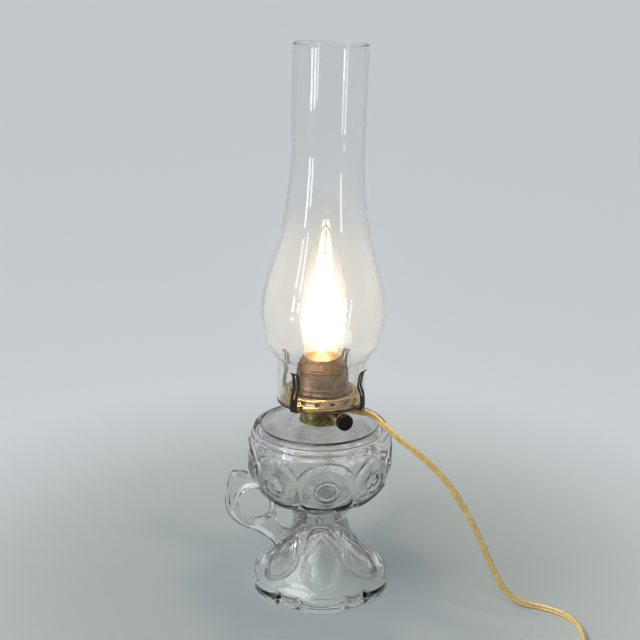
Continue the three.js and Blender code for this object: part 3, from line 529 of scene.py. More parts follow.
def worn_material(name, values, patches, colours, socket="Base Color", roughness=None, relief=None):
    """A material whose colour and roughness go from plain to marked with patches of tarnish.
    The patches are their scale, their speckle's scale and the speckle's share, and the relief is
    the speckle's strength and distance."""
    material, tree = new_material(name, values)
    scales = dict(zip(("Patch Scale", "Speckle Scale", "Speckle"), patches))
    tarnish = shared_effect(tree, "Tarnish patches", scales)
    feed(tree, socket, mixed_colour(tree, tarnish["Mask"], *colours))
    if roughness:
        feed(tree, "Roughness", mixed_value(tree, tarnish["Mask"], *roughness))
    if relief:
        bump(tree, tarnish["Height"], *relief)
    return material


RIBS_ROUND = 56.0
# Heights above the bulb's foot where the bulb glass's painted glow turns from amber to cream, and where it
# fades
WARM_SPAN = (0.010, 0.028)
FADE_SPAN = (0.045, 0.095)


def pressed_glass(name):
    tint = bpy.context.scene.lamp_glass.tint
    material, tree = new_material(name, {"Base Color": (*tint, 1), "IOR": 1.5, "Transmission Weight": 1.0})
    plane = attribute(tree, "relief_plane", "Vector")
    across, up, strength = node(tree, "ShaderNodeSeparateXYZ", {0: plane}).outputs
    turn = calculate(tree, "MULTIPLY", calculate(tree, "ARCTAN2", up, across), RIBS_ROUND)
    ribs = calculate(tree, "MULTIPLY", calculate(tree, "SINE", turn), strength)
    dots = node(tree, "ShaderNodeTexVoronoi", {"Vector": object_place(tree), "Scale": 750.0})
    stipple = calculate(tree, "MULTIPLY", dots.outputs["Distance"], attribute(tree, "stipple"))
    ripple = shared_effect(tree, "Glass ripple", {"Wave Scale": 55.0})["Height"]
    height = calculate(tree, "MULTIPLY_ADD", ripple, 2.0, calculate(tree, "ADD", ribs, stipple))
    bump(tree, height, strength=0.55, distance=0.0003)
    marks = smudged(tree, 0.6, clean=0.0, marked=0.09)
    feed(tree, "Roughness", calculate(tree, "MULTIPLY_ADD", attribute(tree, "frost"), 0.16, marks))
    pass_shadow_light(tree, 0.93)
    absorb(tree, (0.60, 0.58, 0.54), density=14.0)
    return material


def blown_glass(name):
    values = {"Base Color": (0.99, 0.99, 0.985, 1), "IOR": 1.47, "Transmission Weight": 0.99}
    material, tree = new_material(name, values)
    ripple = shared_effect(tree, "Glass ripple", {"Wave Scale": 22.0})["Height"]
    bump(tree, ripple, strength=0.3, distance=0.0006)
    feed(tree, "Roughness", smudged(tree, 0.5, clean=0.0, marked=0.06))
    pass_shadow_light(tree, 0.95)
    absorb(tree, (0.42, 0.45, 0.45), density=34.0)
    return material


def bulb_glass(name):
    """Clear glass with a painted glow where the filaments' light washes it out: warm at its foot, bright in
    front, fading upwards.
    """
    haze = bpy.context.scene.lamp_stage.bulb_painted_glow
    values = {"Base Color": (0.995, 0.995, 0.99, 1), "IOR": 1.45, "Transmission Weight": 1.0}
    material, tree = new_material(name, values)
    height = node(tree, "ShaderNodeSeparateXYZ", {0: object_place(tree)}).outputs["Z"]
    foot = FONT_TOP + BULB_FOOT
    # Painted glow: amber low on the bulb, cream above, strongest where the glass faces the viewer
    warm = ramp(tree, height, *(foot + rise for rise in WARM_SPAN))
    feed(tree, "Emission Color", mixed_colour(tree, warm, (1.0, 0.50, 0.12), (1.0, 0.90, 0.70)))
    facing = node(tree, "ShaderNodeLayerWeight", {"Blend": 0.5}).outputs["Facing"]
    middle = ramp(tree, facing, start=0.05, end=0.75, first=haze, last=0.18 * haze)
    fading = ramp(tree, height, *(foot + rise for rise in FADE_SPAN), first=1.0, last=0.1)
    feed(tree, "Emission Strength", calculate(tree, "MULTIPLY", middle, fading))
    feed(tree, "Roughness", smudged(tree, 0.5, clean=0.03, marked=0.08))
    pass_shadow_light(tree, 0.98)
    return material


def polished_brass(name):
    brass = bpy.context.scene.lamp_burner.brass
    worn = [level * share for level, share in zip(brass, (0.60, 0.54, 0.44))]
    material = worn_material(
        name, {"Metallic": 1.0}, patches=(75.0, 1100.0, 0.25), colours=(brass, worn), roughness=(0.10, 0.26)
    )
    rings = shared_effect(material.node_tree, "Lathe brushing", {"Ring Scale": 3200.0})["Height"]
    bump(material.node_tree, rings, strength=0.12, distance=0.0002)
    return material


def aged_brass(name):
    brown = bpy.context.scene.lamp_burner.copper_brown
    rubbed = [min(1, 3.2 * level) for level in brown]
    return worn_material(
        name, {"Metallic": 1.0}, patches=(120.0, 1500.0, 0.7), colours=(rubbed, brown),
        roughness=(0.26, 0.46), relief=(0.35, 0.00012),
    )


def green_brass(name):
    return worn_material(
        name, {"Metallic": 1.0}, patches=(160.0, 1300.0, 0.5),
        colours=((0.42, 0.36, 0.13), (0.13, 0.12, 0.05)), roughness=(0.2, 0.42), relief=(0.2, 0.0001),
    )


def blackened_steel(name):
    return worn_material(
        name, {"Metallic": 0.3, "Specular IOR Level": 0.15}, patches=(200.0, 1800.0, 0.3),
        colours=((0.010, 0.009, 0.009), (0.028, 0.021, 0.017)), roughness=(0.28, 0.5),
    )


def copper_sleeve(name):
    return worn_material(
        name, {"Metallic": 1.0}, patches=(220.0, 1500.0, 0.3),
        colours=((0.78, 0.45, 0.32), (0.45, 0.24, 0.16)), roughness=(0.18, 0.36),
    )


def bright_nickel(name):
    return worn_material(
        name, {"Metallic": 1.0}, patches=(180.0, 1500.0, 0.2),
        colours=((0.74, 0.72, 0.68), (0.5, 0.47, 0.42)), roughness=(0.16, 0.34),
    )


def plaster(name):
    return worn_material(
        name, {"Roughness": 0.9}, patches=(150.0, 900.0, 0.5),
        colours=((0.74, 0.70, 0.61), (0.55, 0.50, 0.42)), relief=(0.5, 0.0003),
    )


def pressed_fibre(name):
    return worn_material(
        name, {"Roughness": 0.85}, patches=(500.0, 2500.0, 0.8),
        colours=((0.06, 0.055, 0.05), (0.12, 0.11, 0.1)), relief=(0.4, 0.0002),
    )


def lit_filament(name):
    power = bpy.context.scene.lamp_stage.filament_power
    values = {"Base Color": (1.0, 0.72, 0.32, 1), "Roughness": 0.6, "Emission Strength": power}
    return worn_material(
        name, values, patches=(300.0, 1500.0, 0.3), colours=((1.0, 0.80, 0.50), (1.0, 0.70, 0.36)),
        socket="Emission Color",
    )


def gold_insulation(name):
    gold = bpy.context.scene.lamp_cord.gold
    values = {"Roughness": 0.22, "Coat Weight": 0.6, "Coat Roughness": 0.12, "Subsurface Weight": 0.15,
              "Subsurface Scale": 0.002}
    material = worn_material(
        name, values, patches=(260.0, 1500.0, 0.2), colours=(gold, (0.78, 0.60, 0.26))
    )
    tree = material.node_tree
    bump(tree, noise(tree, object_place(tree), 900.0, detail=3.0), strength=0.1, distance=0.0002)
    return material


def black_plastic(name):
    values = {"Base Color": (0.003, 0.003, 0.003, 1), "Specular IOR Level": 0.1}
    material, tree = new_material(name, values)
    feed(tree, "Roughness", smudged(tree, 0.9, clean=0.3, marked=0.5))
    scales = {"Patch Scale": 400.0, "Speckle Scale": 3000.0, "Speckle": 0.5}
    bump(tree, shared_effect(tree, "Tarnish patches", scales)["Height"], strength=0.1, distance=0.00008)
    return material


MATERIAL_MAKERS = {
    "Pressed glass": pressed_glass,
    "Blown glass": blown_glass,
    "Bulb glass": bulb_glass,
    "Polished brass": polished_brass,
    "Aged brass": aged_brass,
    "Greenish brass": green_brass,
    "Blackened steel": blackened_steel,
    "Copper sleeve": copper_sleeve,
    "Bright nickel": bright_nickel,
    "Black moulded plastic": black_plastic,
    "Plaster": plaster,
    "Pressed fibre": pressed_fibre,
    "Lit filament": lit_filament,
    "Gold cord insulation": gold_insulation,
}


def finish(name):
    """The named material, built the first time that a piece asks for it."""
    return bpy.data.materials.get(name) or MATERIAL_MAKERS[name](name)


# Pressed glass: lobed foot, hexagonal stem, bowl and finger handle in one piece

FOOT_RIM = 0.0126
SLOPE_SPAN = (0.0130, 0.0650)
NECK_RADIUS = 0.0235
JOINT_RADIUS = 0.0246
PANEL_COUNT = 6
PEDESTAL_TURN = math.radians(2)
FLATS_SHARES = (0.42, 0.7)
LARGE_LOBE_HALF = math.radians(20.5)
SMALL_LOBE_HALF = math.radians(9.5)
LARGE_LOBE_DIP = 0.0036
SMALL_LOBE_DIP = 0.0042
NOTCH_DIP = 0.0068
LARGE_NOTCH_SHARE = 0.92
SMALL_NOTCH_SHARE = 0.3
LOBE_FADE = (0.0102, 0.0124)
LOBE_FADE_SHARE = 0.75
TEARDROP_FOOT = (0.0553, 0.0168)
TEARDROP_ROUND = 0.0174
TEARDROP_TIP = 0.050
TEARDROP_END = (0.046, 0.052)
OUTLINE_HALF = 0.0017
INNER_LINE_INSET = 0.0062
INNER_LINE_HALF = 0.0014
INNER_LINE_SHARE = 0.5
STIPPLE_EDGE = (-0.0095, -0.0075)
TICK_INNER_EDGE = (-0.0058, -0.0046)
TICK_OUTER_EDGE = (-0.0004, 0.0008)
TICK_END = (0.01914, 0.02958)
TICK_RELIEF = 7.0
RIB_RELIEF = 3.4
MEDALLION_COUNT = 8
MEDALLION_TURN = math.radians(5.5)
MEDALLION_RADIUS = 0.0266
MEDALLION_RIM_HALF = 0.0022
MEDALLION_HEIGHT_SHARE = 0.46
BULLSEYE_RADIUS = 0.0072
BULLSEYE_RELIEF = 0.0017
BULLSEYE_RINGS = ((-0.0006, 0.0085, 0.0014), (0.0009, 0.0106, 0.0015))
DISH_DEPTH = 0.0007
DISH_INNER_EDGE = (0.0118, 0.0205)
DISH_OUTER_EDGE = (0.0212, 0.0242)
RIBS_START = (0.0118, 0.0128)
RIBS_END = (0.0190, 0.0205)
FONT_TOP_RADIUS = 0.0575
FONT_NECK_RADIUS = 0.0136
FONT_NECK_BORE = 0.0108
FROST_EDGE = (0.049, 0.055)
CEILING_DEPTH = 0.005

FOOT_HOLLOW_SHARES = ((0, 0.7), (0.08, 0.69), (0.16, 0.66), (0.34, 0.46), (0.52, 0.29), (0.76, 0.14))
FOOT_REST_MM = ((-5.5, 4.2), (-5.5, 0.6), (-4.9, 0))
FOOT_RIM_MM = (
    (-2.1, 0), (-0.8, 0.6), (0, 2), (0, 4.2), (-0.6, 4.6), (-1.5, 5), (-1.5, 5.5), (-0.6, 5.8), (-0.5, 8),
    (-0.7, 10), (-1.2, 11), (-2.2, 11.7), (-3.6, 12.1), (-4.2, 12.4), (-4, 12.9),
)
FOOT_SLOPE_SHARES = (
    (0.895, 0.004), (0.84, 0.042), (0.663, 0.114), (0.506, 0.206), (0.363, 0.298), (0.216, 0.429),
    (0.107, 0.575), (0.03, 0.72), (0, 0.82), (0, 0.93),
)
WAFER_MM = (
    (0.2, 65.6), (1.6, 66.3), (1.8, 67.2), (1.8, 70.6), (1.6, 71.5), (0.2, 72.2), (0, 73.6), (0, 75.2),
)
JOINT_MM = ((-0.6, -1.4), (0, -0.8))
BOWL_FOOT_MM = ((0, 0.2),)
BOWL_WALL_SHARES = (
    (0.4, 0.006), (0.5, 0.03), (0.615, 0.075), (0.72, 0.13), (0.81, 0.19), (0.89, 0.265), (0.945, 0.345),
    (0.98, 0.435), (1, 0.55), (1, 0.68), (0.99, 0.78), (0.965, 0.875),
)
SHOULDER_MM = ((-1.5, 0.3), (-1.8, 0.8), (-0.7, 1.5), (-0.9, 2.1))
FONT_TOP_MM = (
    (1.2, -4.1), (0, -3.4), (-1.6, -2.8), (-3.5, -2.6), (-4.7, -2.6), (-5.4, -3), (-6, -2.9), (-6.5, -2.2),
    (-7.1, -1.8), (-8.7, -1.5), (-17.5, -1), (-35.5, -0.1),
)
FONT_NECK_MM = ((0.4, 0), (0, 0.4), (0, 3.2), (-0.4, 3.6), (-2.4, 3.6), (-2.8, 3.2))
BORE_FOOT_MM = ((0, 0.6), (0.8, 0))
# Radii as shares of the hollow's, and heights in metres from the ceiling
CEILING_SHARES = ((0.4, -0.0006), (0.87, -0.0018), (0.93, -0.004), (0.965, -0.0084))
BOWL_HOLLOW_SHARES = (
    (1, 0.78), (1, 0.64), (0.97, 0.44), (0.86, 0.27), (0.66, 0.15), (0.4, 0.09), (0.18, 0.078), (0, 0.0765),
)


def foot_lobe(azimuth):
    """How far the foot's rim draws in between its large and its small lobes."""
    off = abs(sector_angle(azimuth, PANEL_COUNT, PEDESTAL_TURN))
    if off < LARGE_LOBE_HALF:
        across = off / LARGE_LOBE_HALF
        notch = (NOTCH_DIP - LARGE_LOBE_DIP) * smooth_step(LARGE_NOTCH_SHARE, 1, across)
        return -LARGE_LOBE_DIP * across**2 - notch
    across = abs(off - LARGE_LOBE_HALF - SMALL_LOBE_HALF) / SMALL_LOBE_HALF
    return -SMALL_LOBE_DIP - (NOTCH_DIP - SMALL_LOBE_DIP) * smooth_step(SMALL_NOTCH_SHARE, 1, across)


def teardrop_distance(across, climb):
    """How far a point of the foot's slope lies outside the teardrop's outline, less than 0 inside it."""
    if climb < TEARDROP_ROUND:
        return math.hypot(across, climb - TEARDROP_ROUND) - TEARDROP_ROUND
    taper = TEARDROP_TIP - TEARDROP_ROUND
    turn = min(1, (climb - TEARDROP_ROUND) / taper) * QUARTER
    slant = TEARDROP_ROUND * QUARTER / taper * math.sin(turn)
    return (abs(across) - TEARDROP_ROUND * math.cos(turn)) / math.hypot(1, slant)


def shape_pedestal(vert, azimuth, radius, sizes, layers):
    """Lobes, six flats up the stem, and the teardrops on the foot's slope."""
    height = vert.co.z
    off = sector_angle(azimuth, PANEL_COUNT, PEDESTAL_TURN)
    flats = radius * (math.cos(math.pi / PANEL_COUNT) / math.cos(off) - 1)
    move = flats * smooth_step(*(share * PEDESTAL_TOP for share in FLATS_SHARES), height)
    if height < FOOT_RIM:
        move += foot_lobe(azimuth) * (1 - LOBE_FADE_SHARE * smooth_step(*LOBE_FADE, height))
    push_out(vert, move)
    if height > FOOT_RIM:
        foot_radius, foot_height = TEARDROP_FOOT
        away = math.hypot(radius - foot_radius, height - foot_height)
        climb = math.copysign(away, foot_radius - radius)
        outside = teardrop_distance(off * radius, climb)
        ending = 1 - smooth_step(*TEARDROP_END, climb)
        inner_line = INNER_LINE_SHARE * ridge(outside + INNER_LINE_INSET, INNER_LINE_HALF)
        relief = (ridge(outside, OUTLINE_HALF) + inner_line) * ending
        vert.co += vert.normal * sizes.teardrop_relief * relief
        vert[layers["stipple"]] = (1 - smooth_step(*STIPPLE_EDGE, outside)) * ending
        ticks = smooth_step(*TICK_INNER_EDGE, outside) * (1 - smooth_step(*TICK_OUTER_EDGE, outside))
        ticks *= 1 - smooth_step(*TICK_END, climb)
        vert[layers["relief_plane"]] = (off * radius, climb - TEARDROP_ROUND, TICK_RELIEF * ticks)


def shape_bowl(vert, azimuth, radius, sizes, layers):
    """One of the eight round medallions, cut off where they meet, with its ribbed ring and its bull's eye."""
    across = sector_angle(azimuth, MEDALLION_COUNT, MEDALLION_TURN) * radius
    up = vert.co.z - FONT_BASE - (FONT_TOP - FONT_BASE) * MEDALLION_HEIGHT_SHARE
    distance = math.hypot(across, up, radius - sizes.bowl_radius)
    move = sizes.medallion_relief * ridge(distance - MEDALLION_RADIUS, MEDALLION_RIM_HALF)
    move += sum(relief * ridge(distance - middle, half) for relief, middle, half in BULLSEYE_RINGS)
    if distance < BULLSEYE_RADIUS:
        move += BULLSEYE_RELIEF * math.sqrt(1 - (distance / BULLSEYE_RADIUS) ** 2)
    dish = smooth_step(*DISH_INNER_EDGE, distance) * (1 - smooth_step(*DISH_OUTER_EDGE, distance))
    ribs = smooth_step(*RIBS_START, distance) * (1 - smooth_step(*RIBS_END, distance))
    vert[layers["relief_plane"]] = (across, up, RIB_RELIEF * ribs)
    vert.co += vert.normal * (move - DISH_DEPTH * dish)


def frost_ceiling(vert, azimuth, radius, sizes, layers):
    """The dull inner face of the bowl's top."""
    vert[layers["frost"]] = 1 - smooth_step(*FROST_EDGE, radius)


PLAIN, PEDESTAL, BOWL, CEILING = range(4)
SHAPERS = {PEDESTAL: shape_pedestal, BOWL: shape_bowl, CEILING: frost_ceiling}


def glass_profile(sizes):
    """The whole glass from the top of the foot's hollow, round the rim, up and into the bowl, as points
    with a radius, a height and the zone that says what shapes them."""
    foot, bowl = sizes.foot_radius, sizes.bowl_radius
    rise, tall = PEDESTAL_TOP - FOOT_RIM, FONT_TOP - FONT_BASE
    inner, ceiling = bowl - sizes.bowl_wall, FONT_TOP - sizes.bowl_wall
    hollow = smooth_line([(foot * r, PEDESTAL_TOP * z) for r, z in FOOT_HOLLOW_SHARES], 4)
    flare = [(NECK_RADIUS + (foot - NECK_RADIUS) * r, FOOT_RIM + rise * z) for r, z in FOOT_SLOPE_SHARES]
    low, high = SLOPE_SPAN
    slope = [point for point in smooth_line(flare, 9) if low < point.y < high]
    wall = smooth_line([(bowl * r, FONT_BASE + tall * z) for r, z in BOWL_WALL_SHARES], 8)
    roof = [(inner * r, ceiling + z) for r, z in CEILING_SHARES]
    inside = smooth_line(roof + [(inner * r, FONT_BASE + tall * z) for r, z in BOWL_HOLLOW_SHARES], 4)
    stretches = (
        (PLAIN, hollow + in_metres(FOOT_REST_MM, foot)),
        (PEDESTAL, in_metres(FOOT_RIM_MM, foot) + slope + in_metres(WAFER_MM, NECK_RADIUS)),
        (PLAIN, in_metres(JOINT_MM, JOINT_RADIUS, PEDESTAL_TOP)),
        (PLAIN, in_metres(BOWL_FOOT_MM, JOINT_RADIUS, FONT_BASE)),
        (BOWL, wall),
        (PLAIN, in_metres(SHOULDER_MM, *wall[-1])),
        (PLAIN, in_metres(FONT_TOP_MM, FONT_TOP_RADIUS, FONT_TOP)),
        (PLAIN, in_metres(FONT_NECK_MM, FONT_NECK_RADIUS, FONT_TOP)),
        (PLAIN, in_metres(BORE_FOOT_MM, FONT_NECK_BORE, ceiling)),
        (CEILING, [point for point in inside if point.y > ceiling - CEILING_DEPTH]),
        (PLAIN, [point for point in inside if point.y <= ceiling - CEILING_DEPTH]),
    )
    return [(*point, zone) for zone, points in stretches for point in points]


def make_glass_vessel(sizes):
    """The foot, stem and bowl as one spun skin with its relief."""
    bm = bmesh.new()
    zone = bm.verts.layers.float.new("zone")
    layers = {
        "relief_plane": bm.verts.layers.float_vector.new("relief_plane"),
        "stipple": bm.verts.layers.float.new("stipple"),
        "frost": bm.verts.layers.float.new("frost"),
    }
    line = []
    for radius, height, kind in glass_profile(sizes):
        line.append(bm.verts.new((radius, 0, height)))
        line[-1][zone] = kind
    spin_round(bm, line, GLASS_STEPS)
    bm.normal_update()
    for vert in bm.verts:
        shaper = SHAPERS.get(round(vert[zone]))
        if shaper:
            shaper(vert, azimuth_of(vert.co), math.hypot(vert.co.x, vert.co.y), sizes, layers)
    return bm


HANDLE_REACH = 0.0855
HANDLE_TOP = 0.1077
HANDLE_WIDTH = 0.013
HANDLE_SHARES = (
    (0.917, 1), (0.952, 0.955), (0.966, 0.91), (0.992, 0.826), (1, 0.742), (0.992, 0.673), (0.963, 0.613),
    (0.894, 0.551), (0.823, 0.509), (0.737, 0.482), (0.648, 0.45), (0.578, 0.41), (0.517, 0.371),
    (0.474, 0.317), (0.44, 0.25), (0.36, 0.21), (0.24, 0.38), (0.285, 0.455), (0.345, 0.468), (0.405, 0.485),
    (0.452, 0.535), (0.464, 0.6), (0.45, 0.655), (0.42, 0.7), (0.36, 0.76), (0.45, 0.85), (0.62, 0.965),
    (0.745, 0.976), (0.8, 1), (0.917, 1),
)
HANDLE_CHAMFER = 0.0042
FINGER_HOLE_PLACE_SHARES = (0.697, 0.709)
FINGER_HOLE_HALF = (0.0142, 0.0151)
FINGER_HOLE_STEPS = 48


def make_handle():
    """The finger loop with its strut and leg: a filled outline, given depth and chamfered rims."""
    outline = smooth_line([(-HANDLE_REACH * x, HANDLE_TOP * z, 0) for x, z in HANDLE_SHARES], 3)[:-1]
    place_x, place_z = FINGER_HOLE_PLACE_SHARES
    half_x, half_z = FINGER_HOLE_HALF
    hole = []
    for i in range(FINGER_HOLE_STEPS):
        turn = math.tau * i / FINGER_HOLE_STEPS
        x = half_x * math.cos(turn) - place_x * HANDLE_REACH
        hole.append((x, place_z * HANDLE_TOP - half_z * math.sin(turn), 0))
    bm = skin_of(curve_object(
        "handle_outline", (outline, hole), dimensions="2D", fill_mode="BOTH",
        extrude=HANDLE_WIDTH / 2 - HANDLE_CHAMFER, bevel_depth=HANDLE_CHAMFER, bevel_resolution=0,
        offset=-HANDLE_CHAMFER,
    ))
    bm.transform(Matrix.Rotation(QUARTER, 4, "X"))
    face_outwards(bm)
    return bm


class LAMP_OT_glass_body(bpy.types.Operator):
    """Make the pressed glass: foot, stem, bowl and finger handle"""

    bl_idname = "lamp.glass_body"
    bl_label = "Pressed Glass"

    def execute(self, context):
        vessel = make_glass_vessel(context.scene.lamp_glass)
        glass = finish_piece("pressed_glass_body", vessel, "Pressed glass", UPRIGHT, sharp=60)
        handle = finish_piece("handle_blank", make_handle(), "Pressed glass", UPRIGHT)
        combine(glass, handle, "UNION")
        glass.data.shade_smooth()
        glass.data.set_sharp_from_angle(angle=math.radians(40))
        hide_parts("font_bowl", "pedestal_foot", "finger_handle")
        return {"FINISHED"}


# Chimney

CHIMNEY_HEIGHT = 0.3035
# Radii in metres, and heights as shares of the chimney's
CHIMNEY_SHARES = (
    (0.0381, 0), (0.0381, 0.05), (0.0381, 0.1), (0.0384, 0.112), (0.0399, 0.127), (0.0438, 0.144),
    (0.0486, 0.173), (0.0504, 0.203), (0.0523, 0.234), (0.0531, 0.262), (0.0522, 0.296), (0.0506, 0.328),
    (0.0468, 0.381), (0.0416, 0.437), (0.0373, 0.494), (0.0333, 0.578), (0.0312, 0.65), (0.0303, 0.72),
    (0.0306, 0.8), (0.0309, 0.9), (0.0311, 0.99), (0.0313, 1),
)
CHIMNEY_EDGE_SHARE = 0.35


class LAMP_OT_chimney(bpy.types.Operator):
    """Blow the glass chimney"""

    bl_idname = "lamp.chimney"
    bl_label = "Chimney"

    def execute(self, context):
        wall = context.scene.lamp_glass.chimney_wall
        outer = smooth_line([(r, GALLERY_FOOT + CHIMNEY_HEIGHT * z) for r, z in CHIMNEY_SHARES], 4)
        skin = lathe(wall_of(outer, wall), LARGE_STEPS)
        piece = finish_piece("chimney_glass", skin, "Blown glass", sharp=80, body="chimney_body")
        smooth_edges(piece, wall * CHIMNEY_EDGE_SHARE, 3)
        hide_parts("chimney")
        return {"FINISHED"}


# Bulb

# Radii in metres, and heights as shares of the bulb's
BULB_SHARES = (
    (0.01235, 0), (0.01235, 0.012), (0.0150, 0.036), (0.0158, 0.06), (0.0165, 0.105), (0.0177, 0.157),
    (0.0195, 0.24), (0.0202, 0.325), (0.0193, 0.459), (0.0171, 0.641), (0.0154, 0.726), (0.0125, 0.815),
    (0.0074, 0.904), (0.0040, 0.95), (0.0018, 0.98), (0.0, 1),
)
STEM_MM = (
    (0, 0), (11.2, 0), (11.2, 0.8), (7.5, 3), (4.5, 6), (2.8, 11), (2.6, 23.2), (1.8, 25), (0.8, 26.2),
    (0.8, 96.6), (0, 96.6),
)
FILAMENT_COUNT = 4
FILAMENT_TOP_MM = (2.3, 96.2)
FILAMENT_FOOT_MM = (9.4, 30.6)
FILAMENT_RADIUS = 0.0009
# Radii and distances from the strand's end, as shares of its radius
FILAMENT_END_SHARES = ((0, 0), (0.6, 0.1), (0.9, 0.5), (1, 1.2))


class LAMP_OT_bulb(bpy.types.Operator):
    """Make the clear bulb with its stem and its lit filaments"""

    bl_idname = "lamp.bulb"
    bl_label = "Bulb"

    def execute(self, context):
        outer = smooth_line([(r, BULB_FOOT + BULB_HEIGHT * z) for r, z in BULB_SHARES], 4)
        skin = lathe(wall_of(outer, SHEET), SMALL_STEPS)
        envelope = finish_piece("bulb_envelope", skin, "Bulb glass", sharp=80, body="bulb")
        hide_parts("bulb_glass")
        skin = lathe(in_metres(STEM_MM, height=BULB_FOOT), BORE_STEPS)
        stem = finish_piece("bulb_inner_stem", skin, "Blown glass", sharp=50, body="bulb")
        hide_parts("bulb_stem")
        for number in range(1, FILAMENT_COUNT + 1):
            self.filament(number)
        return {"FINISHED"}

    def filament(self, number):
        """A lit strand from the stem's top outwards and down, with its rounded ends."""
        azimuth = (number - 0.5) * math.tau / FILAMENT_COUNT
        out = Vector((math.sin(azimuth), -math.cos(azimuth), 0))
        (top_radius, top_height), (foot_radius, foot_height) = in_metres(
            (FILAMENT_TOP_MM, FILAMENT_FOOT_MM), height=BULB_FOOT)
        foot = out * foot_radius + Vector((0, 0, foot_height))
        line = out * top_radius + Vector((0, 0, top_height)) - foot
        end = [(FILAMENT_RADIUS * r, FILAMENT_RADIUS * z) for r, z in FILAMENT_END_SHARES]
        profile = end + [(r, line.length - z) for r, z in reversed(end)]
        place = LEANING @ Matrix.Translation(foot) @ line.to_track_quat("Z", "Y").to_matrix().to_4x4()
        skin = lathe(profile, STRAND_STEPS)
        piece = finish_piece(f"filament_strand_{number}", skin, "Lit filament", place, body="bulb")
        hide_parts(f"filament_{number}")


# Burner

# Counted from the bell's upright wall and its foot
BELL_MM = (
    (3.5, 0.2), (3.6, 0.8), (3.1, 1.4), (2.1, 1.7), (1.4, 2.1), (1.2, 2.7), (1.6, 3.4), (1.7, 4.2),
    (1.2, 4.9), (0.3, 5.4), (-0.1, 6.2), (-0.5, 8.2), (-1.1, 13), (-1.7, 17.2), (-2, 18.4), (-1.4, 19),
    (-1.3, 19.7), (-1.7, 20.4), (-2.5, 20.8), (-2.6, 21.6), (-3, 22.8), (-3.4, 23.7), (-4.3, 24.6),
    (-4.9, 25.6), (-5.6, 27), (-6.1, 28.2), (-6.4, 28.8), (-6.6, 29), (-6.9, 28.5),
)
# Counted from the gallery's widest place and its foot
GALLERY_LOWER_MM = (
    (-15.3, 0.2), (-5.3, 0.2), (-1.4, 0.2), (-0.6, 0.5), (-0.1, 1.1), (0, 1.8), (-0.2, 2.5), (-0.7, 3.3),
    (-1.4, 3.9), (-2.2, 4.3),
)
GALLERY_BAND_MM = ((-2.6, 4.6), (-2.9, 5), (-3, 5.4), (-3, 5.8), (-2.9, 6.2), (-2.7, 6.6))
GALLERY_UPPER_MM = (
    (-2.2, 6.9), (-1.9, 7.5), (-2.1, 8.2), (-2.8, 8.9), (-3.9, 9.4), (-5.2, 9.6), (-6.6, 9.5), (-7.8, 9.1),
    (-8.7, 8.7), (-10.3, 8.6),
)
STEPS_PER_HOLE = 12
HOLE_TURN = math.radians(-4.9)
HOLE_HALF_SHARE = 0.18
HOLE_EDGE_SLACK = 1e-5
GALLERY_EDGE = 0.00012
PRONG_EDGE = 0.00018
HEM_RADII = (0.0345, 0.0372)
HEM_GAPS = (0.00004, 0.00002)
SEAT_RING_MM = ((26, 0), (38, 0), (38.3, 0.2), (38.3, 0.6), (38, 0.8), (26, 0.8), (26, 0))
PRONG_COUNT = 4
PRONG_TURN = math.radians(-33)
PRONG_THICKNESS = 0.0009
PRONG_BOW = 0.0036
PRONG_HEIGHT = 0.035
PRONG_COLUMNS = (-0.0035, -0.0009, 0.0009, 0.0035)
PRONG_ROOT_RADIUS = 0.0374
PRONG_LEAST_RADIUS = 0.0384
PRONG_SHARES = (
    (0.8, 0), (1, 0.05), (1, 0.22), (0.8, 0.38), (0, 0.58), (0.12, 0.7), (0.35, 0.86), (0.75, 0.96), (1.3, 1),
)
SLOT_FOOT = 0.0115
SLOT_TOP_SHARE = 0.93


class LAMP_OT_bell(bpy.types.Operator):
    """Spin the aged bell over the lampholder"""

    bl_idname = "lamp.bell"
    bl_label = "Bell"

    def execute(self, context):
        outer = in_metres(BELL_MM, context.scene.lamp_burner.bell_radius, BELL_FOOT)
        skin = lathe(wall_of(outer, SHEET), LARGE_STEPS)
        piece = finish_piece("aged_bell", skin, "Aged brass", sharp=50)
        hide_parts("burner_dome")
        return {"FINISHED"}


class LAMP_OT_gallery(bpy.types.Operator):
    """Spin the brass gallery and pierce its air holes"""

    bl_idname = "lamp.gallery"
    bl_label = "Gallery"

    def execute(self, context):
        sizes = context.scene.lamp_burner
        outline = GALLERY_LOWER_MM + GALLERY_BAND_MM + GALLERY_UPPER_MM
        bm = lathe(in_metres(outline, sizes.gallery_radius, GALLERY_FOOT), sizes.air_holes * STEPS_PER_HOLE)
        self.pierce(bm, sizes.air_holes)
        piece = finish_piece("pierced_gallery", bm, "Polished brass", sharp=45)
        modify(piece, "SOLIDIFY", thickness=SHEET, offset=-1)
        apply_modifiers(piece)
        smooth_edges(piece, GALLERY_EDGE, 1)
        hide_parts("gallery")
        inner, outer = HEM_RADII
        low, high = RING_TOP + HEM_GAPS[0], GALLERY_FOOT - HEM_GAPS[1]
        hem = [(inner, low), (outer, low), (outer, high), (inner, high), (inner, low)]
        finish_piece("gallery_hem", lathe(hem, RING_STEPS), "Polished brass", sharp=30)
        return {"FINISHED"}

    def pierce(self, bm, holes):
        """Cuts an oval out of the sloping band in each hole's place and rounds its edge."""
        low, high = (GALLERY_FOOT + GALLERY_BAND_MM[end][1] * MM for end in (0, -1))
        half_turn = math.tau / holes * HOLE_HALF_SHARE

        def from_middle(point):
            off = sector_angle(azimuth_of(point), holes, HOLE_TURN)
            return off, math.hypot(off / half_turn, (point.z - (low + high) / 2) / (high - low) * 2)

        doomed = [face for face in bm.faces if from_middle(face.calc_center_median())[1] < 1]
        bmesh.ops.delete(bm, geom=doomed, context="FACES")
        for vert in bm.verts:
            if vert.is_boundary and low - HOLE_EDGE_SLACK < vert.co.z < high + HOLE_EDGE_SLACK:
                off, reach = from_middle(vert.co)
                if reach > 0:
                    vert.co = Matrix.Rotation(off / reach - off, 4, "Z") @ vert.co


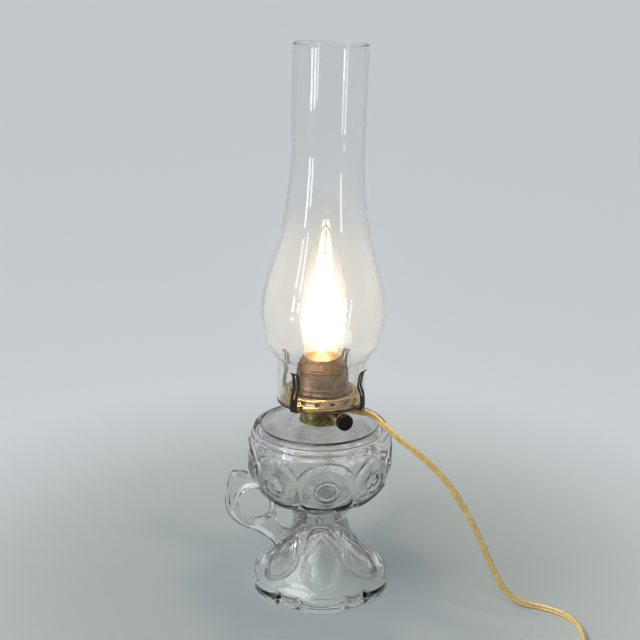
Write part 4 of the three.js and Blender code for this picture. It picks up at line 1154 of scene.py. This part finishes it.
class LAMP_OT_spring_seat(bpy.types.Operator):
    """Make the blackened chimney seat with its slotted spring prongs"""

    bl_idname = "lamp.spring_seat"
    bl_label = "Spring Seat"

    def execute(self, context):
        skin = lathe(in_metres(SEAT_RING_MM, height=RING_FOOT), RING_STEPS)
        seat = finish_piece("seat_ring", skin, "Blackened steel", sharp=30)
        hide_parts("prong_ring")
        for number in range(PRONG_COUNT):
            self.prong(number + 1, PRONG_TURN + number * math.tau / PRONG_COUNT)
        return {"FINISHED"}

    def prong(self, number, azimuth):
        """One strip of spring steel, slotted up its middle and bent to grip the chimney."""
        least, foot = PRONG_LEAST_RADIUS + PRONG_THICKNESS / 2, RING_FOOT + SHEET / 2
        line = smooth_line(
            [(PRONG_ROOT_RADIUS, foot)]
            + [(least + r * PRONG_BOW, foot + z * PRONG_HEIGHT) for r, z in PRONG_SHARES], 4)
        bm = bmesh.new()
        edges = edge_row(bm, [(x, -line[0][0], line[0][1]) for x in PRONG_COLUMNS])
        for before, after in zip(line, line[1:]):
            edges = pull_row(bm, edges, (0, before[0] - after[0], after[1] - before[1]))
        low, high = foot + SLOT_FOOT, foot + SLOT_TOP_SHARE * PRONG_HEIGHT
        middles = ((face, face.calc_center_median()) for face in bm.faces)
        half = PRONG_COLUMNS[2]
        slot = [face for face, middle in middles if abs(middle.x) < half and low < middle.z < high]
        bmesh.ops.delete(bm, geom=slot, context="FACES")
        bmesh.ops.recalc_face_normals(bm, faces=bm.faces)
        place = LEANING @ Matrix.Rotation(azimuth, 4, "Z")
        piece = finish_piece(f"spring_prong_{number}", bm, "Blackened steel", place)
        modify(piece, "SOLIDIFY", thickness=PRONG_THICKNESS, offset=0)
        smooth_edges(piece, PRONG_EDGE)


COLLAR_RADIUS = 0.0176
COLLAR_WALL = 0.001
COLLAR_FOOT_MM = ((0.6, 0), (0.6, 1), (0, 1.6))
COLLAR_ROLL_MM = ((0, 2), (0.3, 2.4), (0.36, 3), (0.3, 3.5), (0, 3.9))
COLLAR_TOP_MM = ((0, 8.3),)
COLLAR_ROLLS = 3
ROLL_PITCH = 0.0021
DRUM_MM = (
    (15.3, -4.5), (16.3, -4.5), (16.3, 0), (18, 0), (18.6, 0.6), (18.6, 8.8), (19, 9.4), (29.8, 9.4),
    (30, 9.6), (30, 10), (29.8, 10.2), (17.6, 10.2), (17.6, 1), (7.7, 1), (7.7, 0), (15.3, 0), (15.3, -4.5),
)
DRUM_RADIUS = 0.0186
DRILL_SPAN = (0.0146, 0.0216)
SWITCH_HOLE = 0.0019
CORD_HOLE = 0.0036
CORD_HOLE_RISE = 0.0019


class LAMP_OT_collar(bpy.types.Operator):
    """Turn the collar, and the adapter body that is screwed into it"""

    bl_idname = "lamp.collar"
    bl_label = "Collar and Drum"

    def execute(self, context):
        outer = in_metres(COLLAR_FOOT_MM, COLLAR_RADIUS, COLLAR_FOOT)
        for turn in range(COLLAR_ROLLS):
            outer += in_metres(COLLAR_ROLL_MM, COLLAR_RADIUS, COLLAR_FOOT + turn * ROLL_PITCH)
        outer += in_metres(COLLAR_TOP_MM, COLLAR_RADIUS, COLLAR_FOOT)
        skin = lathe(wall_of(outer, COLLAR_WALL), RING_STEPS)
        collar = finish_piece("screw_collar", skin, "Greenish brass", sharp=60)
        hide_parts("collar")
        skin = lathe(in_metres(DRUM_MM, height=DRUM_FOOT), RING_STEPS)
        body = finish_piece("adapter_drum", skin, "Greenish brass")
        self.drill(body, laid_along(context.scene.lamp_burner.knob_turn, SWITCH_HEIGHT), SWITCH_HOLE)
        cord_place = laid_along(CORD_AZIMUTH, CORD_EXIT_HEIGHT + CORD_HOLE_RISE, CORD_SLOPE)
        self.drill(body, cord_place, CORD_HOLE)
        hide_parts("burner_base")
        return {"FINISHED"}

    def drill(self, body, place, radius):
        """Cuts a hole through the drum's wall."""
        start, end = DRILL_SPAN
        tool = lathe([(0, start), (radius, start), (radius, end), (0, end)], BORE_STEPS)
        combine(body, finish_piece("drill", tool, "Greenish brass", LEANING @ place), "DIFFERENCE")


# Distances along the switch's axis from the burner's, and radii counted from the knob's or the axis
KNOB_ROOM_MM = ((0, 45.35), (1.8, 45.35), (1.8, 40.4))
KNOB_RIM_MM = (
    (-0.8, 40.4), (-0.2, 40.7), (0, 41.3), (0, 42.9), (0, 44.5), (0, 46), (-0.3, 46.6), (-0.9, 46.9),
    (-1.6, 47), (-2.6, 46.8),
)
KNOB_FACE_MM = ((2, 46.7), (0, 46.7))
KNURL_COUNT = 28
KNURL_DEPTH = 0.00018
KNURL_BAND = 0.0004
SLEEVE_MM = (
    (1.85, 18.9), (4, 18.9), (4, 30.4), (5, 30.5), (5.8, 30.9), (6.1, 31.6), (6.1, 32.5), (5.9, 32.8),
    (5.9, 33.3), (6.1, 33.6), (6.1, 39.3), (5.9, 39.9), (5.4, 40.1), (1.85, 40.1), (1.85, 18.9),
)


class LAMP_OT_switch(bpy.types.Operator):
    """Make the turn switch's knob and its sleeve"""

    bl_idname = "lamp.switch"
    bl_label = "Switch"

    def execute(self, context):
        sizes = context.scene.lamp_burner
        wide = sizes.knob_radius
        place = LEANING @ laid_along(sizes.knob_turn, SWITCH_HEIGHT)
        outline = in_metres(KNOB_ROOM_MM) + in_metres(KNOB_RIM_MM, wide) + in_metres(KNOB_FACE_MM)
        knob = lathe(outline, KNOB_STEPS)
        for vert in knob.verts:
            if math.hypot(vert.co.x, vert.co.y) > wide - KNURL_BAND:
                push_out(vert, KNURL_DEPTH * (math.cos(KNURL_COUNT * azimuth_of(vert.co)) - 1))
        made = finish_piece("switch_button", knob, "Black moulded plastic", place, body="knob")
        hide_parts("switch_knob")
        skin = lathe(in_metres(SLEEVE_MM), SMALL_STEPS)
        made = finish_piece("switch_sleeve", skin, "Copper sleeve", place)
        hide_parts("knob_sleeve")
        return {"FINISHED"}


# Cord: its route from the strain relief to the coil, the coil and the plug

CORD_ROUTE = (
    (0.0505, -0.0099, 0.167), (0.0554, -0.0116, 0.1658), (0.0612, -0.0152, 0.1622), (0.0684, -0.0198, 0.1566),
    (0.0804, -0.0252, 0.1473), (0.0936, -0.0296, 0.1379), (0.1069, -0.0332, 0.127), (0.1188, -0.0362, 0.1144),
    (0.1284, -0.0382, 0.101), (0.1364, -0.0396, 0.0876), (0.1438, -0.041, 0.0736), (0.1508, -0.0422, 0.0588),
    (0.1574, -0.0434, 0.0438), (0.164, -0.0448, 0.0294), (0.1712, -0.0464, 0.0172), (0.1796, -0.0482, 0.0086),
    (0.1894, -0.0506, 0.0042), (0.2004, -0.054, 0.003), (0.212, -0.0596, 0.0029), (0.2216, -0.0682, 0.0029),
    (0.228, -0.0796, 0.0029), (0.2308, -0.093, 0.0029), (0.2304, -0.108, 0.0029), (0.2286, -0.124, 0.0029),
    (0.2269, -0.14, 0.0029), (0.2261, -0.154, 0.0029), (0.226, -0.162, 0.0029), (0.226, -0.167, 0.0029),
)
COIL_GAP = 0.00055
COIL_CLEARANCE = 0.0003
COIL_STEPS = 36
COIL_REVERSAL = 0.25
COIL_END_RUN = 0.036
TABLE_GAP = 0.00005
LOBE_STEPS = 10
LOBE_START = math.radians(-68)
LOBE_TURN = math.radians(316)


def coil_place(sizes):
    """The coil's pitch, its inner and outer radius and its middle."""
    pitch = sizes.width + COIL_GAP
    half_grow = pitch * sizes.coil_turns / 4
    outer = sizes.coil_radius + half_grow
    x, y, _ = CORD_ROUTE[-1]
    middle = Vector((x - outer, y - COIL_CLEARANCE - sizes.width, 0))
    return pitch, sizes.coil_radius - half_grow, outer, middle


def coil_points(sizes):
    """The coil's line: it spirals in on the table, climbs a layer and spirals out on top."""
    pitch, inner, outer, middle = coil_place(sizes)
    count = round(sizes.coil_turns * COIL_STEPS)
    line = []
    for i in range(count + 1):
        turns = i * sizes.coil_turns / count
        from_middle = turns - sizes.coil_turns / 2
        away = abs(from_middle)
        if away < COIL_REVERSAL:
            away = away**2 / (2 * COIL_REVERSAL) + COIL_REVERSAL / 2
        radius = inner + pitch * away
        climb = pitch * smooth_step(-COIL_REVERSAL, COIL_REVERSAL, from_middle)
        x, y = radius * math.cos(-turns * math.tau), radius * math.sin(-turns * math.tau)
        line.append(middle + Vector((x, y, sizes.width / 2 + TABLE_GAP + climb)))
    return [*line, line[-1] - Vector((COIL_END_RUN, 0, 0))]


def twin_section(width):
    """The cord's section, two round conductors side by side with a groove between them."""
    lobe = width / 4
    points = []
    for side in (lobe, -lobe):
        for i in range(LOBE_STEPS):
            angle = LOBE_START + LOBE_TURN * i / (LOBE_STEPS - 1)
            points.append((side * math.cos(angle), side * (1 + math.sin(angle)), 0))
    return curve_object("twin_section", (points,))


RELIEF_GROOVE_SHARES = (0.3, 0.42, 0.54, 0.66, 0.78)
RELIEF_START = 0.0039
RELIEF_END = 0.0030
RELIEF_LENGTH = 0.021
RELIEF_ROOT_MM = ((0, -2.2), (3.3, -2.2), (3.3, 0), (3.9, 0), (3.9, 4))
RELIEF_TIP_MM = ((3, 20.4), (2.6, 21), (0, 21))
GROOVE_SHARE = 0.86
GROOVE_RISES = (0, 0.0004, 0.0011, 0.0015)
# Distance from the cord's end, half width and half height, in millimetres
PLUG_STATIONS_MM = (
    (0, 3.6, 3.6), (2, 4.2, 4), (6, 5.2, 5), (9.5, 7.2, 6.6), (12, 10.5, 8.2), (14, 12, 8.9), (26.5, 12, 8.9),
    (27, 11.5, 8.4),
)
PLUG_CORNERS = 32
PLUG_ROUNDNESS = 0.5
PLAY = 0.0003
TIE_AZIMUTH = math.radians(150)
TIE_THICKNESS = 0.0005
TIE_HALF_WIDTH = 0.0016
TIE_CORNER = 0.0018
TIE_CORNER_STEPS = 5
TIE_PLAY = 0.0006
TIE_FOOT = 0.0001


class LAMP_OT_cord(bpy.types.Operator):
    """Lay the cord from the strain relief to its coil and its plug"""

    bl_idname = "lamp.cord"
    bl_label = "Cord"

    def execute(self, context):
        sizes = context.scene.lamp_cord
        line = [*smooth_line(CORD_ROUTE, 4), *coil_points(sizes)]
        section = twin_section(sizes.width)
        bm = skin_of(curve_object(
            "cord_line", (line,), closed=False, dimensions="3D", twist_mode="Z_UP", bevel_mode="OBJECT",
            bevel_object=section, use_fill_caps=True,
        ))
        bpy.data.objects.remove(section)
        face_outwards(bm)
        cord = finish_piece("twin_cord", bm, "Gold cord insulation", Matrix(), sharp=70)
        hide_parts("cord_free", "cord_coil")
        relief = self.strain_relief()
        plug = self.plug(line[-1])
        tie = self.tie(sizes)
        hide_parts("strain_relief")
        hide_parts("plug_body")
        return {"FINISHED"}

    def strain_relief(self):
        """A tapered sleeve with grooves, where the cord leaves the drum."""
        profile = in_metres(RELIEF_ROOT_MM)
        for share in RELIEF_GROOVE_SHARES:
            wide = RELIEF_START + (RELIEF_END - RELIEF_START) * share
            radii = (wide, GROOVE_SHARE * wide, GROOVE_SHARE * wide, wide)
            profile += [(r, RELIEF_LENGTH * share + rise) for r, rise in zip(radii, GROOVE_RISES)]
        profile += in_metres(RELIEF_TIP_MM)
        out = DRUM_RADIUS + PLAY + RELIEF_START * math.sin(CORD_SLOPE)
        root = Matrix.Translation((0, -out, CORD_EXIT_HEIGHT))
        along = Matrix.Rotation(QUARTER + CORD_SLOPE, 4, "X")
        place = LEANING @ Matrix.Rotation(CORD_AZIMUTH, 4, "Z") @ root @ along
        skin = lathe(profile, RELIEF_STEPS)
        return finish_piece("strain_relief_sleeve", skin, "Gold cord insulation", place, sharp=35)

    def plug(self, end):
        """A two-blade plug with a drawn-in tail."""
        bm = bmesh.new()
        rings = []
        for away, half_wide, half_high in PLUG_STATIONS_MM:
            ring = []
            for i in range(PLUG_CORNERS):
                angle = math.tau * i / PLUG_CORNERS
                c, s = math.cos(angle), math.sin(angle)
                y = math.copysign(abs(c) ** PLUG_ROUNDNESS, c) * half_wide
                z = math.copysign(abs(s) ** PLUG_ROUNDNESS, s) * half_high
                ring.append((-away * MM, y * MM, z * MM))
            rings.append(edge_row(bm, ring, closed=True))
        for low, high in zip(rings, rings[1:]):
            bmesh.ops.bridge_loops(bm, edges=[*low, *high])
        for ring in (rings[0], rings[-1]):
            bmesh.ops.contextual_create(bm, geom=ring)
        bmesh.ops.recalc_face_normals(bm, faces=bm.faces)
        low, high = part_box("plug_body")
        place = Matrix.Translation((end.x - PLAY, (low.y + high.y) / 2, (low.z + high.z) / 2))
        piece = finish_piece("plug_moulding", bm, "Gold cord insulation", place)
        for node_name in ("plug_blade_neutral", "plug_blade_line"):
            self.seat(piece, *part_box(node_name))
        return piece

    def seat(self, piece, low, high):
        """Leaves room for a blade in the plug."""
        bm = bmesh.new()
        low, high = low - Vector((0, PLAY, PLAY)), high + Vector((PLAY, PLAY, PLAY))
        place = Matrix.Translation((low + high) / 2) @ Matrix.Diagonal((*(high - low), 1))
        bmesh.ops.create_cube(bm, size=1, matrix=place)
        combine(piece, finish_piece("blade_room", bm, "Gold cord insulation", Matrix()), "DIFFERENCE")

    def tie(self, sizes):
        """A flat plastic tie round the coil's turns."""
        pitch, inner, outer, middle = coil_place(sizes)
        inner, outer = inner - sizes.width / 2 - TIE_PLAY, outer + sizes.width / 2 + TIE_PLAY
        top = pitch + sizes.width + TIE_THICKNESS
        corners = ((outer, top, 0), (inner, top, 90), (inner, TIE_FOOT, 180), (outer, TIE_FOOT, 270))
        line = []
        for x, z, start in corners:
            x -= math.copysign(TIE_CORNER, x - (inner + outer) / 2)
            z -= math.copysign(TIE_CORNER, z - top / 2)
            for i in range(TIE_CORNER_STEPS + 1):
                turn = math.radians(start) + QUARTER * i / TIE_CORNER_STEPS
                place = (x + TIE_CORNER * math.cos(turn), -TIE_HALF_WIDTH, z + TIE_CORNER * math.sin(turn))
                line.append(place)
        bm = bmesh.new()
        pull_row(bm, edge_row(bm, line, closed=True), (0, 2 * TIE_HALF_WIDTH, 0))
        bmesh.ops.recalc_face_normals(bm, faces=bm.faces)
        place = Matrix.Translation(middle) @ Matrix.Rotation(TIE_AZIMUTH, 4, "Z")
        piece = finish_piece("coil_tie", bm, "Black moulded plastic", place)
        modify(piece, "SOLIDIFY", thickness=TIE_THICKNESS, offset=-1)
        return piece


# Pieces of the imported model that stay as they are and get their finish

INNER_FINISHES = {
    "Plaster": ("collar_cement",),
    "Black moulded plastic": ("socket_insulator", "bulb_cap_insulator"),
    "Polished brass": ("terminal_screw_1", "terminal_screw_2", "screw_shell", "centre_contact",
                       "plug_blade_neutral", "plug_blade_line", "bulb_cap"),
    "Pressed fibre": ("socket_liner",),
    "Bright nickel": ("bulb_cap_contact", "filament_anchor", "filament_lead_1", "filament_lead_2",
                      "filament_lead_3", "filament_lead_4", "switch_shaft"),
}


class LAMP_OT_inner_parts(bpy.types.Operator):
    """Give the small inner pieces their finishes"""

    bl_idname = "lamp.inner_parts"
    bl_label = "Inner Parts"

    def execute(self, context):
        for name, nodes in INNER_FINISHES.items():
            for node_name in nodes:
                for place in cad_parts[node_name].material_slots:
                    place.link = "OBJECT"
                    place.material = finish(name)
        return {"FINISHED"}


# Stage: floor, light and camera

CAMERA_PLACE = (LAMP_AXIS, -0.986, 0.549)
CAMERA_TILT = math.radians(90 - 16.95)
CAMERA_LENS = 67.5
SENSOR_WIDTH = 36
SUN_DIRECTION = (0.5, 0.3, -0.8)
SUN_SPREAD = math.radians(50)
SUNLIGHT = (0.97, 0.99, 1.0)
BULB_GLOW = (1.0, 0.74, 0.40)
FILAMENT_SPREAD = 0.006
FLOOR_RADIUS = 60
WINDOW_DISTANCE = 1.8
DAYLIGHT = (0.92, 0.96, 1.0)
WARM_DAYLIGHT = (1.0, 0.98, 0.95)
# Name, azimuth in degrees, lower and upper height, width, strength and colour
WINDOWS = (
    ("left_window_low_pane", -58, 0.03, 0.13, 0.10, 44, DAYLIGHT),
    ("left_window", -58, 0.22, 0.50, 0.10, 44, DAYLIGHT),
    ("left_window_top_pane", -58, 0.60, 1.12, 0.10, 20, DAYLIGHT),
    ("left_leaf", -47, 0.22, 0.44, 0.10, 39, DAYLIGHT),
    ("left_leaf_top_pane", -47, 0.56, 1.12, 0.10, 20, DAYLIGHT),
    ("right_window", 42, 0.22, 0.48, 0.12, 26, WARM_DAYLIGHT),
)
# Name, height above the bulb's foot and share of the bulb's light
BULB_LIGHTS = (("bulb_light", 0.062, 1.0), ("cap_light", 0.012, 0.25))


def new_light(name, kind, power, tone, **settings):
    """A light of a kind, with its object in the scene."""
    light = bpy.data.lights.new(name, kind)
    light.energy = power
    light.color = tone
    for setting, value in settings.items():
        setattr(light, setting, value)
    holder = bpy.data.objects.new(name, light)
    bpy.context.scene.collection.objects.link(holder)
    return holder


def aim(holder, direction):
    """Turns a light to shine along a direction."""
    holder.rotation_euler = direction.to_track_quat("-Z", "Y").to_euler()


class LAMP_OT_stage(bpy.types.Operator):
    """Set the camera, the floor and the light"""

    bl_idname = "lamp.stage"
    bl_label = "Stage"

    def execute(self, context):
        self.camera(context)
        self.floor(context)
        self.light(context.scene.lamp_stage)
        self.surroundings(context)
        self.glow(context)
        return {"FINISHED"}

    def camera(self, context):
        """The photograph's view: level across, looking down a little."""
        camera = bpy.data.cameras.new("Camera")
        camera.sensor_width = SENSOR_WIDTH
        camera.lens = CAMERA_LENS
        camera.clip_start = 0.01
        holder = bpy.data.objects.new("Camera", camera)
        holder.location = CAMERA_PLACE
        holder.rotation_euler = (CAMERA_TILT, 0, 0)
        context.scene.collection.objects.link(holder)
        context.scene.camera = holder

    def floor(self, context):
        """A floor that grows paler away from the lamp: the darker colour round the lamp is partly the floor's
        own tone and partly painted shade.
        """
        bm = bmesh.new()
        bmesh.ops.create_circle(bm, cap_ends=True, segments=96, radius=FLOOR_RADIUS)
        mesh = bpy.data.meshes.new("floor")
        bm.to_mesh(mesh)
        bm.free()
        piece = bpy.data.objects.new("floor", mesh)
        context.scene.collection.objects.link(piece)
        sizes = context.scene.lamp_stage
        material, tree = new_material("Floor with painted shade", {"Roughness": 0.9})
        place = object_place(tree)
        away = node(tree, "ShaderNodeVectorMath", {0: place}, operation="LENGTH").outputs["Value"]
        # Painted shade round the lamp, partly the floor's own tone, fading out between 0.12 and 0.55 m
        paler = ramp(tree, away, start=0.12, end=0.55)
        feed(tree, "Base Color", mixed_colour(tree, paler, sizes.floor_near_tone_and_shade, sizes.floor_far))
        mesh.materials.append(material)

    def light(self, sizes):
        """A soft light from above, tall windows behind the viewer, and the lit bulb."""
        sun = new_light("soft_sun", "SUN", sizes.sun_power, SUNLIGHT, angle=SUN_SPREAD)
        aim(sun, Vector(SUN_DIRECTION))
        for name, azimuth, low, high, wide, strength, tone in WINDOWS:
            turn, tall = math.radians(azimuth), high - low
            out = WINDOW_DISTANCE * Vector((math.sin(turn), -math.cos(turn), 0))
            power = strength * wide * tall
            pane = new_light(name, "AREA", power, tone, shape="RECTANGLE", size=wide, size_y=tall)
            pane.location = out + Vector((0, 0, (low + high) / 2))
            pane.visible_camera = False
            aim(pane, -out)
        for name, rise, share in BULB_LIGHTS:
            power = share * sizes.bulb_power
            bulb = new_light(name, "POINT", power, BULB_GLOW, shadow_soft_size=FILAMENT_SPREAD)
            bulb.location = LEANING @ Vector((0, 0, BULB_FOOT + rise))
            bulb.visible_transmission = False

    def surroundings(self, context):
        """A pale room that darkens overhead and behind the viewer, which gives the glass its dark lines."""
        world = bpy.data.worlds.new("Pale room")
        context.scene.world = world
        world.use_nodes = True
        tree = world.node_tree
        place = node(tree, "ShaderNodeTexCoord").outputs["Generated"]
        parts = node(tree, "ShaderNodeSeparateXYZ", {0: place}).outputs
        overhead = ramp(tree, parts["Z"], start=0.03, end=0.5, first=0.75, last=0.26)
        behind = ramp(tree, parts["Y"], start=-0.35, end=0.35, first=0.32, last=1.0)
        room = tree.nodes["Background"].inputs
        tree.links.new(calculate(tree, "MULTIPLY", overhead, behind), room["Strength"])
        room["Color"].default_value = (0.94, 0.97, 1.0, 1)

    def glow(self, context):
        """The haze that a lit bulb leaves in a photograph."""
        scene = context.scene
        scene.view_settings.view_transform = "Standard"
        scene.use_nodes = True
        tree = scene.node_tree
        tree.nodes.clear()
        picture = node(tree, "CompositorNodeRLayers").outputs["Image"]
        glare = node(tree, "CompositorNodeGlare", glare_type="BLOOM", quality="HIGH")
        for socket, value in {"Threshold": 1.1, "Strength": 0.7, "Size": 0.7}.items():
            glare.inputs[socket].default_value = value
        tree.links.new(picture, glare.inputs["Image"])
        node(tree, "CompositorNodeComposite", {"Image": glare.outputs["Image"]})


class VIEW3D_PT_oil_lamp(bpy.types.Panel):
    """Sizes, colours and pieces of the lamp"""

    bl_label = "Oil Lamp"
    bl_space_type = "VIEW_3D"
    bl_region_type = "UI"
    bl_category = "Oil Lamp"

    def draw(self, context):
        for group in PROPERTY_GROUPS:
            box = self.layout.box()
            box.label(text=group.removeprefix("lamp_").title())
            sizes = getattr(context.scene, group)
            for name in sizes.bl_rna.properties.keys():
                if name not in {"rna_type", "name"}:
                    box.prop(sizes, name)
        for operator in OPERATORS:
            self.layout.operator(operator.bl_idname)


OPERATORS = (
    LAMP_OT_stage, LAMP_OT_cord, LAMP_OT_glass_body, LAMP_OT_chimney, LAMP_OT_bulb, LAMP_OT_bell,
    LAMP_OT_gallery, LAMP_OT_spring_seat, LAMP_OT_collar, LAMP_OT_switch, LAMP_OT_inner_parts,
)
PROPERTY_GROUPS = {
    "lamp_glass": GlassSizes, "lamp_burner": BurnerSizes, "lamp_cord": CordSizes, "lamp_stage": StageSizes,
}


def register():
    for name, group in PROPERTY_GROUPS.items():
        bpy.utils.register_class(group)
        setattr(bpy.types.Scene, name, PointerProperty(type=group))
    for item in (*OPERATORS, VIEW3D_PT_oil_lamp):
        bpy.utils.register_class(item)


def unregister():
    for item in (VIEW3D_PT_oil_lamp, *reversed(OPERATORS)):
        bpy.utils.unregister_class(item)
    for name, group in PROPERTY_GROUPS.items():
        delattr(bpy.types.Scene, name)
        bpy.utils.unregister_class(group)


def main():
    register()
    bpy.ops.lamp.stage()
    bpy.ops.lamp.cord()
    bpy.ops.lamp.glass_body()
    bpy.ops.lamp.chimney()
    bpy.ops.lamp.bulb()
    bpy.ops.lamp.bell()
    bpy.ops.lamp.gallery()
    bpy.ops.lamp.spring_seat()
    bpy.ops.lamp.collar()
    bpy.ops.lamp.switch()
    bpy.ops.lamp.inner_parts()


if __name__ == "__main__":
    main()
